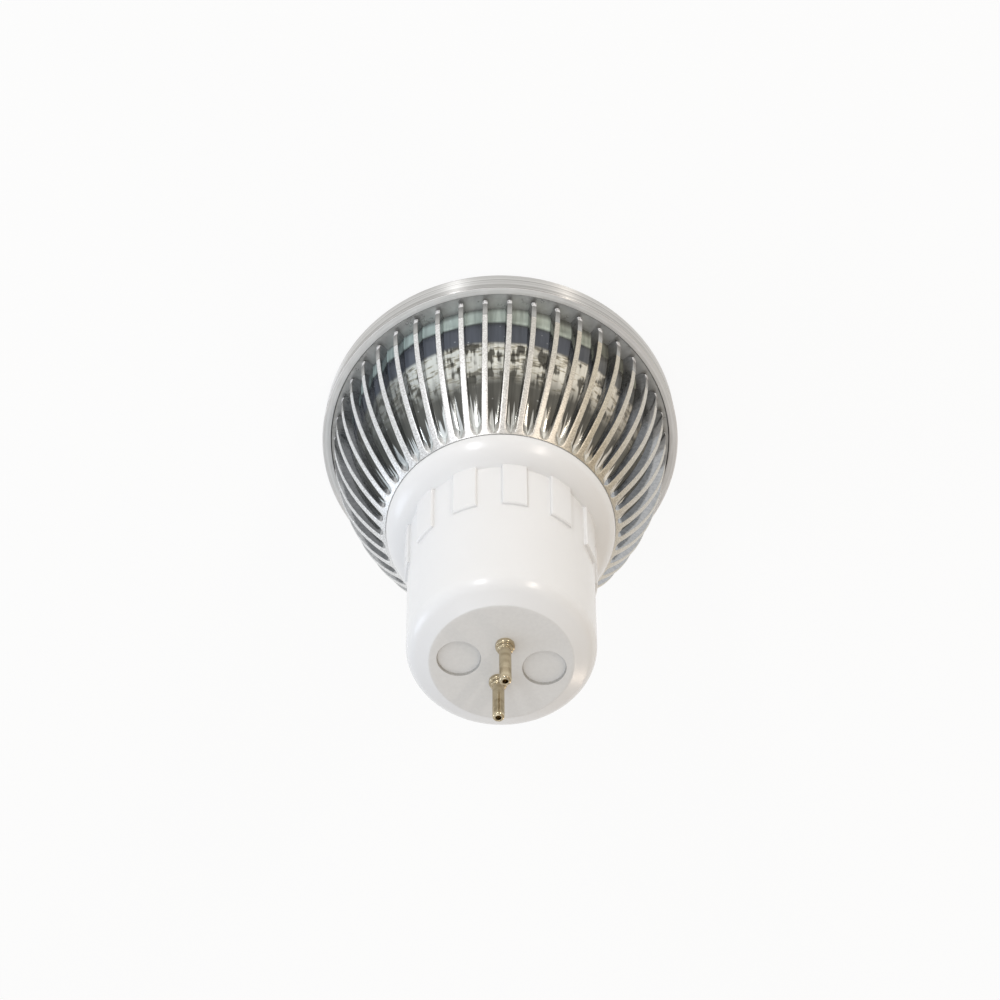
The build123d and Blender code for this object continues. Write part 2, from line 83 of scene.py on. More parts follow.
def add(tree: Tree, kind: str, settings: dict[Any, Any] | None = None,
        links: dict[Any, Node | Socket] | None = None) -> Node:
    """Adds one node with its settings and its incoming links.

    Args:
        tree: Node tree that takes the node.
        kind: Blender's name of the node type.
        settings: Values by attribute name, or by input name or number; "stops" are a colour
            ramp's places with their hex colours.
        links: Sockets by input name or number; a node stands for its first output in use.

    Returns:
        The new node.
    """
    node = tree.nodes.new(kind)
    for name, value in (settings or {}).items():
        if name == "stops":
            elements = node.color_ramp.elements
            while len(elements) < len(value):
                elements.new(0.5)
            for element, (place, code) in zip(elements, value):
                element.position, element.color = place, linear(code)
        elif isinstance(name, str) and hasattr(node, name):
            setattr(node, name, value)
        else:
            node.inputs[name].default_value = value
    for name, source in (links or {}).items():
        if isinstance(source, Node):
            source = next(output for output in source.outputs if output.enabled)
        tree.links.new(source, node.inputs[name])
    return node


@dataclass(frozen=True)
class Finish:
    """A finish with fine grain: two close colours, a roughness range and a small relief."""

    name: str
    low: str
    high: str
    grain_mm: float
    roughness: tuple[float, float]
    relief_mm: float = 0.0
    metallic: float = 0.0
    shader: dict[str, float] = field(default_factory=dict)
    # Painted side light: colours laid across the bulb from one side to the other, for how the
    # lamps fall.
    side_light_tints: Stops = ()
    side_light_reach: float = 20.0

    def grain(self, tree: Tree, place: Socket) -> Node:
        """Returns the grain's value, from noise as wide as the real grain."""
        return add(tree, "ShaderNodeTexNoise",
                   {"Scale": 1 / (self.grain_mm * MM), "Detail": 3.0, "Roughness": 0.6},
                   {"Vector": place})

    def colour(self, tree: Tree, place: Socket, grain: Node) -> Node:
        """Returns the base colour, which moves between low and high with the grain."""
        return add(tree, "ShaderNodeValToRGB", {"stops": ((0.35, self.low), (0.65, self.high))},
                   {"Fac": grain})

    def extra(self, tree: Tree, links: dict[str, Node | Socket]) -> None:
        """Adds further links; a plain finish has none."""

    def paint_side_light(self, tree: Tree, place: Socket, colour: Node) -> Node:
        """Paints side light: tints a colour from one side of the bulb to the other, where the
        finish has such tints.

        Args:
            tree: The material's nodes.
            place: Object coordinates.
            colour: The colour before the tint.

        Returns:
            The tinted colour.
        """
        if not self.side_light_tints:
            return colour
        axes = add(tree, "ShaderNodeSeparateXYZ", links={0: place})
        across = add(tree, "ShaderNodeMapRange",
                     {"From Min": -self.side_light_reach * MM, "From Max": self.side_light_reach * MM},
                     {"Value": axes.outputs["X"]})
        # Painted side light, warm or cool by side.
        side_light_tint = add(tree, "ShaderNodeValToRGB", {"stops": self.side_light_tints}, {"Fac": across})
        return add(tree, "ShaderNodeMix", MULTIPLY, {6: colour, 7: side_light_tint})

    def material(self) -> bpy.types.Material:
        """Builds the material once and returns it from then on.

        Returns:
            The material with the finish's name.
        """
        made = bpy.data.materials.get(self.name)
        if made:
            return made
        made = bpy.data.materials.new(self.name)
        made.use_nodes = True
        tree = made.node_tree
        tree.nodes.clear()
        place = add(tree, "ShaderNodeTexCoord").outputs["Object"]
        grain = self.grain(tree, place)
        links = {"Base Color": self.paint_side_light(tree, place, self.colour(tree, place, grain))}
        links["Roughness"] = add(tree, "ShaderNodeMapRange",
                                 {"From Min": 0.3, "From Max": 0.7, "To Min": self.roughness[0],
                                  "To Max": self.roughness[1]}, {"Value": grain})
        if self.relief_mm:
            links["Normal"] = add(tree, "ShaderNodeBump",
                                  {"Strength": 1.0, "Distance": self.relief_mm * MM},
                                  {"Height": grain})
        self.extra(tree, links)
        surface = add(tree, "ShaderNodeBsdfPrincipled",
                      {"Metallic": self.metallic, **self.shader}, links)
        add(tree, "ShaderNodeOutputMaterial", links={"Surface": surface})
        return made


@dataclass(frozen=True)
class TurnedFinish(Finish):
    """Metal faced on a lathe: the grain runs in rings round the axis."""

    waver_mm: float = 0.25
    waver_length_mm: float = 9.0

    def grain(self, tree: Tree, place: Socket) -> Node:
        """Makes noise that changes with radius and height, and barely along a ring.

        Args:
            tree: The material's nodes.
            place: Object coordinates.

        Returns:
            The grain's value.
        """
        flat = add(tree, "ShaderNodeVectorMath", {"operation": "MULTIPLY", 1: (1.0, 1.0, 0.0)},
                   {0: place})
        radius = add(tree, "ShaderNodeVectorMath", {"operation": "LENGTH"}, {0: flat})
        smear = add(tree, "ShaderNodeTexNoise",
                    {"Scale": 1 / (self.waver_length_mm * MM), "Detail": 1.0}, {"Vector": place})
        shift = add(tree, "ShaderNodeMath", {"operation": "MULTIPLY", 1: self.waver_mm * MM},
                    {0: smear})
        axes = add(tree, "ShaderNodeSeparateXYZ", links={0: place})
        section = add(tree, "ShaderNodeCombineXYZ",
                      links={"X": radius.outputs["Value"], "Y": axes.outputs["Z"], "Z": shift})
        return add(tree, "ShaderNodeTexNoise",
                   {"Scale": 1 / (self.grain_mm * MM), "Detail": 2.0, "Roughness": 0.5},
                   {"Vector": section})

    def extra(self, tree: Tree, links: dict[str, Node | Socket]) -> None:
        """Turns the gloss across the lathe lines."""
        links["Tangent"] = add(tree, "ShaderNodeTangent",
                               {"direction_type": "RADIAL", "axis": "Z"})


@dataclass(frozen=True)
class PolishedGroove(Finish):
    """Bright-dipped bowl between the fins, coloured with painted reflections: bands round the
    bulb, streaks along it.

    The low colour is the plain dark ground, itself a painted dark reflection, and the high colour
    that of the painted highlight spikes.
    """

    # Painted reflection: bands by height, and bright patches.
    reflection_bands: Stops = ()
    reflection_patches: Stops = ()
    low_z: float = 3.5
    high_z: float = 24.0

    def share(self, tree: Tree, level: Node | Socket) -> Node:
        """Returns a height's share of the way from the ledge to the neck."""
        return add(tree, "ShaderNodeMapRange",
                   {"From Min": self.low_z * MM, "From Max": self.high_z * MM}, {"Value": level})

    def banded_reflection(self, tree: Tree, place: Socket, axes: Node, share: Node) -> Node:
        """Lays the painted reflection bands, which fade out in places as wide as three or four
        fins.

        Args:
            tree: The material's nodes.
            place: Object coordinates.
            axes: The same, taken apart.
            share: Share of the way up the bowl.

        Returns:
            The banded colour.
        """
        reflection_rings = add(tree, "ShaderNodeValToRGB", {"stops": self.reflection_bands}, {"Fac": share})
        wide = add(tree, "ShaderNodeTexNoise",
                   {"Scale": 1 / (15 * MM), "Detail": 1.0, "Distortion": 0.4}, {"Vector": place})
        slant = add(tree, "ShaderNodeMath", {"operation": "MULTIPLY_ADD", 1: -0.02 / MM},
                    {0: axes.outputs["X"], 2: wide})
        fade = add(tree, "ShaderNodeValToRGB", {"stops": ((0.6, "#000000"), (0.8, "#D8D8D8"))},
                   {"Fac": slant})
        # Where the bands fade, the low colour shows: a painted dark reflection.
        return add(tree, "ShaderNodeMix", {"data_type": "RGBA", 7: linear(self.low)},
                   {"Factor": fade, 6: reflection_rings})

    def patched_reflection(self, tree: Tree, place: Socket, lines: Node) -> Node:
        """Makes painted reflection patches two millimetres across, frayed along the lines, crossed
        level.

        Args:
            tree: The material's nodes.
            place: Object coordinates.
            lines: The fine lines along the bulb.

        Returns:
            The patches' colour.
        """
        tall = add(tree, "ShaderNodeVectorMath",
                   {"operation": "MULTIPLY", 1: (1.0, 1.0, 0.7)}, {0: place})
        spots = add(tree, "ShaderNodeTexNoise",
                    {"Scale": 1 / (2.2 * MM), "Detail": 2.0, "Roughness": 0.5}, {"Vector": tall})
        frayed = add(tree, "ShaderNodeMath", {"operation": "MULTIPLY_ADD", 1: 0.5},
                     {0: lines, 2: spots})
        ground = add(tree, "ShaderNodeValToRGB", {"stops": self.reflection_patches}, {"Fac": frayed})
        squat = add(tree, "ShaderNodeVectorMath",
                    {"operation": "MULTIPLY", 1: (1.0, 1.0, 3.0)}, {0: place})
        crossing = add(tree, "ShaderNodeTexNoise",
                       {"Scale": 1 / (1.6 * MM), "Detail": 2.0, "Roughness": 0.6},
                       {"Vector": squat})
        lined = add(tree, "ShaderNodeValToRGB",
                    {"stops": ((0.36, "#6E6656"), (0.44, "#D2CCBE"), (0.50, "#FFFFFF"))},
                    {"Fac": crossing})
        return add(tree, "ShaderNodeMix", MULTIPLY | {"Factor": 0.8}, {6: ground, 7: lined})

    def belted_reflection(self, tree: Tree, axes: Node, share: Node) -> Node:
        """Keeps the painted reflection patches to a belt half-way up, and mostly to the bulb's
        front side.

        Args:
            tree: The material's nodes.
            axes: Object coordinates, taken apart.
            share: Share of the way up the bowl.

        Returns:
            The patches' strength.
        """
        belt = add(tree, "ShaderNodeValToRGB",
                   {"stops": ((0.37, "#000000"), (0.40, "#FFFFFF"), (0.58, "#FFFFFF"),
                              (0.72, "#000000"))}, {"Fac": share})
        facing = add(tree, "ShaderNodeMapRange",
                     {"From Min": -17 * MM, "From Max": -9 * MM, "To Min": 1.0, "To Max": 0.15},
                     {"Value": axes.outputs["Y"]})
        return add(tree, "ShaderNodeMath", {"operation": "MULTIPLY"}, {0: belt, 1: facing})

    def spiked_reflection(self, tree: Tree, axes: Node, outward: Node) -> Node:
        """Makes painted highlight spikes a third of a millimetre wide, two or three long, down
        from the neck.

        Args:
            tree: The material's nodes.
            axes: Object coordinates, taken apart.
            outward: Direction away from the axis.

        Returns:
            The spikes' strength.
        """
        narrow = add(tree, "ShaderNodeTexNoise", {"Scale": 40.0, "Detail": 1.0, "Roughness": 0.5},
                     {"Vector": outward})
        reach = add(tree, "ShaderNodeMath", {"operation": "MULTIPLY_ADD", 1: 0.7},
                    {0: narrow, 2: self.share(tree, axes.outputs["Z"])})
        return add(tree, "ShaderNodeMapRange", {"From Min": 1.23, "From Max": 1.26},
                   {"Value": reach})

    def colour(self, tree: Tree, place: Socket, grain: Node) -> Node:
        """Puts the painted reflection bands, patches and spikes, the specks and the lines
        together.

        Args:
            tree: The material's nodes.
            place: Object coordinates.
            grain: The grain's value, which this colour doesn't need.

        Returns:
            The groove's colour.
        """
        axes = add(tree, "ShaderNodeSeparateXYZ", links={0: place})
        # The painted reflection bands waver by a millimetre and a half, as the casting's wall
        # does.
        slow = add(tree, "ShaderNodeTexNoise",
                   {"Scale": 1 / (12 * MM), "Detail": 2.0, "Roughness": 0.5}, {"Vector": place})
        bend = add(tree, "ShaderNodeMath",
                   {"operation": "MULTIPLY_ADD", 1: 3.0 * MM, 2: -1.5 * MM}, {0: slow})
        bent = add(tree, "ShaderNodeMath", {"operation": "ADD"}, {0: axes.outputs["Z"], 1: bend})
        share = self.share(tree, bent)
        # Fine lines that run along the bulb, as the dipping left them, about half a millimetre
        # wide: noise on the direction away from the axis, and slowly changing with height.
        flat = add(tree, "ShaderNodeVectorMath", {"operation": "MULTIPLY", 1: (1.0, 1.0, 0.0)},
                   {0: place})
        outward = add(tree, "ShaderNodeVectorMath", {"operation": "NORMALIZE"}, {0: flat})
        long_way = add(tree, "ShaderNodeVectorMath",
                       {"operation": "MULTIPLY_ADD", 1: (0.0, 0.0, 4.0)}, {0: place, 2: outward})
        lines = add(tree, "ShaderNodeTexNoise",
                    {"Scale": 28.0, "Detail": 2.0, "Roughness": 0.6}, {"Vector": long_way})
        belted_reflection = add(tree, "ShaderNodeMix", {"data_type": "RGBA"},
                     {"Factor": self.belted_reflection(tree, axes, share),
                      6: self.banded_reflection(tree, place, axes, share),
                      7: self.patched_reflection(tree, place, lines)})
        # Painted highlight spikes in the high colour.
        spiked_reflection = add(tree, "ShaderNodeMix", {"data_type": "RGBA", 7: linear(self.high)},
                     {"Factor": self.spiked_reflection(tree, axes, outward), 6: belted_reflection})
        # Pits and dust that catch the light, a fifth of a millimetre or so across.
        speck = add(tree, "ShaderNodeTexVoronoi", {"Scale": 1 / (1.5 * MM)}, {"Vector": place})
        dots = add(tree, "ShaderNodeValToRGB", {"stops": ((0.05, "#FFFFFF"), (0.10, "#000000"))},
                   {"Fac": speck})
        dusted = add(tree, "ShaderNodeMix", MULTIPLY | {"blend_type": "ADD", "Factor": 0.3},
                     {6: spiked_reflection, 7: dots})
        shade = add(tree, "ShaderNodeValToRGB",
                    {"stops": ((0.35, "#D4D4D4"), (0.5, "#F0F0F0"), (0.65, "#FFFFFF"))},
                    {"Fac": lines})
        return add(tree, "ShaderNodeMix", MULTIPLY, {6: dusted, 7: shade})


@dataclass(frozen=True)
class PaintedGlintNose(Finish):
    """Fin nose whose painted shade and glint go by height, from the ledge up to the crest.

    The low colour is the painted shade at the nose's foot, and the high colour its painted glint.
    """

    # Painted shade just below the glint, and the painted grey shade of the crown above it.
    painted_foot_shade: str = "#2E2E2E"
    painted_crown_shade: tuple[str, str] = ("#8C8C8A", "#A6A6A3")
    low_z: float = 3.5
    high_z: float = 7.1

    def colour(self, tree: Tree, place: Socket, grain: Node) -> Node:
        """Lays the painted shades and the glint by height.

        Args:
            tree: The material's nodes.
            place: Object coordinates.
            grain: The grain's value, which this colour doesn't need.

        Returns:
            The painted shade or glint at this height.
        """
        axes = add(tree, "ShaderNodeSeparateXYZ", links={0: place})
        share = add(tree, "ShaderNodeMapRange",
                    {"From Min": self.low_z * MM, "From Max": self.high_z * MM},
                    {"Value": axes.outputs["Z"]})
        return add(tree, "ShaderNodeValToRGB",
                   {"stops": ((0.0, self.low), (0.19, self.painted_foot_shade), (0.23, self.high),
                              (0.42, self.high), (0.5, self.painted_crown_shade[0]), (1.0, self.painted_crown_shade[1]))},
                   {"Fac": share})


class Metal(Enum):
    """Metal finishes of the bulb."""

    # Aluminium alloy turned on a lathe: pale grey, fine rings and a narrow gloss across them.
    RING = TurnedFinish("turned aluminium", "#AFADA9", "#E2E1DE", 0.15, (0.30, 0.36), 0.006, 1.0,
                        {"Anisotropic": 1.0, "Anisotropic Rotation": 0.25})
    # The ring's back face, left from a coarser cut: hazier, with finer bright rings; its
    # near-white, almost unmetallic colour is painted light.
    RING_BACK_LIT = TurnedFinish("faced aluminium painted lighter", "#E4E2DF", "#FDFCFA", 0.12, (0.42, 0.55), 0.008,
                             0.1, {"Anisotropic": 0.6, "Anisotropic Rotation": 0.25})
    # Die-cast aluminium with its fin tips sanded: satin with grit marks, with painted side light
    # that makes it bright towards one side and warm towards the other.
    CREST = Finish("sanded cast aluminium with painted side light", "#CCCAC7", "#FAFAF8", 0.20, (0.32, 0.48), 0.014, 0.85,
                   side_light_tints=((0.05, "#E2DED6"), (0.25, "#DCD2BE"), (0.5, "#E2DFD9"),
                          (0.68, "#FFFFFF"), (1.0, "#EFF2F5")))
    # The same casting bright-dipped between the fins. Its colour is painted reflection: a dark
    # ground with bands, patches and spikes for the room it mirrors, and a painted side light that
    # is warm towards one side and cool towards the other.
    GROOVE = PolishedGroove(
        "bright-dipped cast aluminium with painted reflections", "#6C6C66", "#FFFEFA", 1.2, (0.10, 0.22), 0.006, 0.5,
        reflection_bands=((0.00, "#8E938E"), (0.03, "#B8BEB8"), (0.07, "#F2FDF5"), (0.17, "#EAF6ED"),
               (0.195, "#4E5254"), (0.22, "#50545E"), (0.36, "#585C66"), (0.42, "#68665F"),
               (0.75, "#63615B"), (1.0, "#6C6962")),
        reflection_patches=((0.66, "#68655C"), (0.73, "#F8F5EC")),
        side_light_tints=((0.15, "#F4EDE2"), (0.5, "#F1F1EC"), (0.85, "#EEF8FF")))
    # The fins' flanks, dipped too: a smooth half-dark mirror of the groove beside them.
    FLANK = Finish("dipped fin flank", "#9EA0A2", "#B4B5B6", 0.5, (0.08, 0.18), 0.003, 1.0)
    # The fins' noses were tumbled round; their colour is painted by height: a painted white glint
    # on each, with painted dark shade at its foot and painted grey shade above it.
    NOSE = PaintedGlintNose("fin nose with painted glint and shade", "#262626", "#FFFFFF", 0.3, (0.12, 0.24), 0.004, 0.3)
    # The ledge behind the ring was faced before the dip: an even mid grey.
    LEDGE = Finish("faced and dipped aluminium", "#A6A6A3", "#BDBDBA", 1.5, (0.25, 0.38), 0.003,
                   0.5)
    # The casting's inside, as it left the die: dull mid grey.
    CAST = Finish("as-cast aluminium", "#9D9D9B", "#B5B5B3", 0.5, (0.42, 0.6), 0.02, 1.0)
    # Brass pin stock with a nickel flash: warm champagne grey with fine draw marks.
    PIN = TurnedFinish("nickel-flashed brass", "#B3A58A", "#CDC0A4", 0.6, (0.14, 0.24), 0.0012,
                       1.0)
    # Zinc-plated steel: bright grey, slightly blue.
    STEEL = Finish("zinc-plated steel", "#A9ADB1", "#C3C6C9", 0.4, (0.25, 0.4), 0.004, 1.0)
    # Enamelled copper wire: reddish with a clear varnish gloss.
    COPPER = Finish("enamelled copper wire", "#A4552B", "#C06C3A", 0.3, (0.2, 0.35), 0.02, 1.0)


class Moulded(Enum):
    """Plastic, glass, rubber and board finishes of the bulb."""

    # Injection-moulded polycarbonate, glossy white, with the faint ripple of the mould.
    WHITE = Finish("glossy white polycarbonate", "#E5E5E4", "#E6E6E5", 6.0, (0.22, 0.26), 0.012,
                   shader={"IOR": 1.58})
    # The same plastic on the end face, spark-textured in the mould, with a soft gloss; its greyer
    # colour is painted shade.
    SHADED_END_FACE = Finish("textured white polycarbonate painted greyer", "#D8D7D4", "#DCDBD8", 0.5, (0.34, 0.44),
                      0.004, shader={"IOR": 1.58})
    # Its step round each dimple: a thin grey line of painted shade.
    DIMPLE_SHADE = Finish("white polycarbonate with painted dimple shade", "#A2A19D", "#ADACA8", 0.3, (0.45, 0.6), 0.004,
                     shader={"IOR": 1.58})
    # Toughened soda-lime glass: clear, a touch green at its edge.
    GLASS = Finish("clear toughened glass", "#F4FAF7", "#FAFDFB", 20.0, (0.0, 0.02),
                   shader={"IOR": 1.52, "Transmission Weight": 1.0})
    # Cast acrylic optics: clear and glossy.
    ACRYLIC = Finish("clear acrylic", "#F5F7F8", "#FCFDFD", 8.0, (0.01, 0.04),
                     shader={"IOR": 1.49, "Transmission Weight": 1.0})
    # Soft silicone ring: milky, slightly tacky.
    SILICONE = Finish("clear silicone", "#DADCDB", "#E6E8E7", 0.6, (0.45, 0.6), 0.01,
                      shader={"IOR": 1.41, "Transmission Weight": 0.4})
    # Black polycarbonate, matt-textured.
    BLACK = Finish("textured black polycarbonate", "#19191A", "#222223", 0.25, (0.45, 0.6), 0.02,
                   shader={"IOR": 1.58})
    # White solder resist on an aluminium-cored board: even, half-gloss.
    WHITE_BOARD = Finish("white solder resist", "#E3E3DE", "#ECECE8", 0.4, (0.3, 0.4), 0.006)
    # Green solder resist over glass-fibre board: the weave just shows.
    GREEN_BOARD = Finish("green solder resist", "#1F5A36", "#276B42", 0.45, (0.28, 0.4), 0.01)
    # Filled silicone heat pad: matt light grey.
    PAD = Finish("heat-conducting pad", "#8D9296", "#A1A5A8", 0.3, (0.7, 0.85), 0.03,
                 shader={"IOR": 1.41})
    # Shrunk vinyl sleeve of an electrolytic can: dark blue, satin.
    SLEEVE = Finish("shrunk vinyl sleeve", "#1E2638", "#262F44", 0.5, (0.3, 0.42), 0.01)
    # Sintered ferrite: matt charcoal, grainy.
    FERRITE = Finish("sintered ferrite", "#2C2C2D", "#3B3B3C", 0.2, (0.6, 0.8), 0.03)
    # Filled epoxy chip package: matt black.
    EPOXY = Finish("black epoxy package", "#18181A", "#222224", 0.15, (0.5, 0.65), 0.01)
    # Fired barium-titanate ceramic: tan, dull.
    CERAMIC = Finish("tan fired ceramic", "#A88A62", "#BA9C74", 0.2, (0.45, 0.6), 0.01)
    # Phosphor in silicone over the LED chip: warm yellow under a clear gloss.
    PHOSPHOR = Finish("phosphor silicone", "#D9B83A", "#EBCF55", 0.25, (0.25, 0.4), 0.01,
                      shader={"IOR": 1.41, "Coat Weight": 0.6, "Coat Roughness": 0.05})
    # Pressed vulcanised fibre: buff with short fibres.
    FIBRE = Finish("pressed fibre sheet", "#A69A78", "#B9AD8C", 0.3, (0.6, 0.75), 0.02)
    # Silicone wire jackets: satin red and black.
    RED_JACKET = Finish("red silicone jacket", "#9E1B18", "#B3231E", 0.3, (0.4, 0.55), 0.01,
                        shader={"IOR": 1.41})
    BLACK_JACKET = Finish("black silicone jacket", "#161617", "#212122", 0.3, (0.4, 0.55), 0.01,
                          shader={"IOR": 1.41})


Choice = Metal | Moulded
Corner = tuple[float, float] | tuple[float, float, float]


def turned(corners: Sequence[Corner], steps: int, closed: bool = True,
           first_deg: float = 0.0) -> BMesh:
    """Spins a half section about the Z axis.

    Args:
        corners: Radius and height of each corner, with the size of its rounding where it has one.
        steps: Number of steps in the full turn.
        closed: Whether the last corner joins the first.
        first_deg: Angle at which the section stands before it is spun.

    Returns:
        The turned surface, its doubles merged.
    """
    bm = bmesh.new()
    verts = [bm.verts.new((c[0] * MM, 0, c[1] * MM)) for c in corners]
    ends = verts + verts[:1] if closed else verts
    for pair in zip(ends, ends[1:]):
        bm.edges.new(pair)
    roundings = {}
    for vert, corner in zip(verts, corners):
        if len(corner) > 2:
            roundings.setdefault(corner[2], []).append(vert)
    for size, chosen in roundings.items():
        bmesh.ops.bevel(bm, geom=chosen, offset=size * MM, offset_type="OFFSET",
                        affect="VERTICES", segments=4, profile=0.5, material=-1)
    bmesh.ops.rotate(bm, verts=bm.verts, cent=(0, 0, 0),
                     matrix=Matrix.Rotation(radians(first_deg), 3, "Z"))
    bmesh.ops.spin(bm, geom=bm.verts[:] + bm.edges[:], cent=(0, 0, 0), axis=(0, 0, 1),
                   dvec=(0, 0, 0), angle=FULL_TURN, steps=steps, use_merge=True,
                   use_duplicate=False)
    bmesh.ops.remove_doubles(bm, verts=bm.verts, dist=MERGE)
    return bm


def piece(bm: BMesh, name: str, finishes: Sequence[Choice],
          node: str) -> bpy.types.Object:
    """Turns a finished bmesh into a piece that stands for a CAD node.

    Args:
        bm: The closed mesh; it is freed here.
        name: Name of the piece.
        finishes: Finishes in the order of the faces' material numbers.
        node: CAD node that the piece replaces.

    Returns:
        The new object.
    """
    bmesh.ops.recalc_face_normals(bm, faces=bm.faces)
    mesh = bpy.data.meshes.new(name)
    bm.to_mesh(mesh)
    bm.free()
    mesh.shade_smooth()
    mesh.set_sharp_from_angle(angle=SHARP)
    obj = bpy.data.objects.new(name, mesh)
    bpy.context.scene.collection.objects.link(obj)
    for finish in finishes:
        mesh.materials.append(finish.value.material())
    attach(obj, BODY)
    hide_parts(node)
    log.info("%s: %d faces, for %s", name, len(mesh.polygons), node)
    return obj


@dataclass
class FrontRing:
    """Turned ring, glass and gasket at the front of the bulb."""

    outer_radius: float = 25.0
    height: float = 4.1
    back_dish: float = 0.4
    bore_radius: float = 23.85
    lip_radius: float = 20.6
    lip_thickness: float = 1.0
    lip_bevel: float = 0.5
    front_edge: float = 0.35
    back_edge: float = 0.12
    glass_radius: float = 22.0
    glass_z: tuple[float, float] = (1.3, 2.5)
    glass_edge: float = 0.15
    gasket_width: float = 1.0
    gasket_edge: float = 0.06
    inner_edge: float = 0.05
    steps: int = 240

    def build(self) -> None:
        """Makes the ring, the glass and the gasket."""
        back = self.height - self.back_dish
        section = [
            (self.lip_radius + self.lip_bevel, 0.0),
            (self.outer_radius, 0.0, self.front_edge),
            (self.outer_radius, self.height, self.back_edge),
            (self.bore_radius, back, self.inner_edge),
            (self.bore_radius, self.lip_thickness),
            (self.lip_radius, self.lip_thickness, self.inner_edge),
            (self.lip_radius, self.lip_bevel),
        ]
        finishes = [Metal.RING, Metal.RING_BACK_LIT]
        bm = turned(section, self.steps)
        for face in bm.faces:
            face.normal_update()
            at_back = face.calc_center_median().z / MM > back - self.inner_edge
            if at_back and abs(face.normal.z) > 0.8:
                # The back face takes the faced finish, painted lighter.
                face.material_index = finishes.index(Metal.RING_BACK_LIT)
        piece(bm, "front_ring_turned", finishes, "front_ring")
        low, high = self.glass_z
        pane = [(0.0, low), (self.glass_radius, low, self.glass_edge),
                (self.glass_radius, high, self.glass_edge), (0.0, high)]
        piece(turned(pane, self.steps, closed=False), "front_glass_pane", [Moulded.GLASS],
              "front_glass")
        inner = self.glass_radius - self.gasket_width
        corners = ((inner, self.lip_thickness), (self.glass_radius, self.lip_thickness),
                   (self.glass_radius, low), (inner, low))
        seal = [(radius, z, self.gasket_edge) for radius, z in corners]
        piece(turned(seal, self.steps), "glass_gasket_ring", [Moulded.SILICONE],
              "glass_gasket")


@dataclass
class Bowl:
    """An arc in the plane of radius and height, from the ledge at the rim to the neck."""

    start: tuple[float, float]
    end: tuple[float, float]
    bulge: float

    def __post_init__(self) -> None:
        """Works out the arc's centre and radius."""
        rise, run = self.end[1] - self.start[1], self.end[0] - self.start[0]
        chord = hypot(rise, run)
        self.radius = (chord**2 / 4 + self.bulge**2) / (2 * self.bulge)
        back = self.radius - self.bulge
        self.centre_r = (self.start[0] + self.end[0]) / 2 - back * rise / chord
        self.centre_z = (self.start[1] + self.end[1]) / 2 + back * run / chord

    def turn_at_radius(self, radius: float) -> float:
        """Returns the arc's own angle where it has this distance from the axis."""
        return acos((radius - self.centre_r) / self.radius)

    def turn_at_height(self, z: float) -> float:
        """Returns the arc's own angle at a height."""
        return asin((z - self.centre_z) / self.radius)

    def at(self, turn: float) -> tuple[float, float, float, float]:
        """Returns radius, height and the outward normal at the arc's own angle."""
        return (self.centre_r + self.radius * cos(turn), self.centre_z + self.radius * sin(turn),
                cos(turn), sin(turn))


Row = tuple[float, float, float, float]


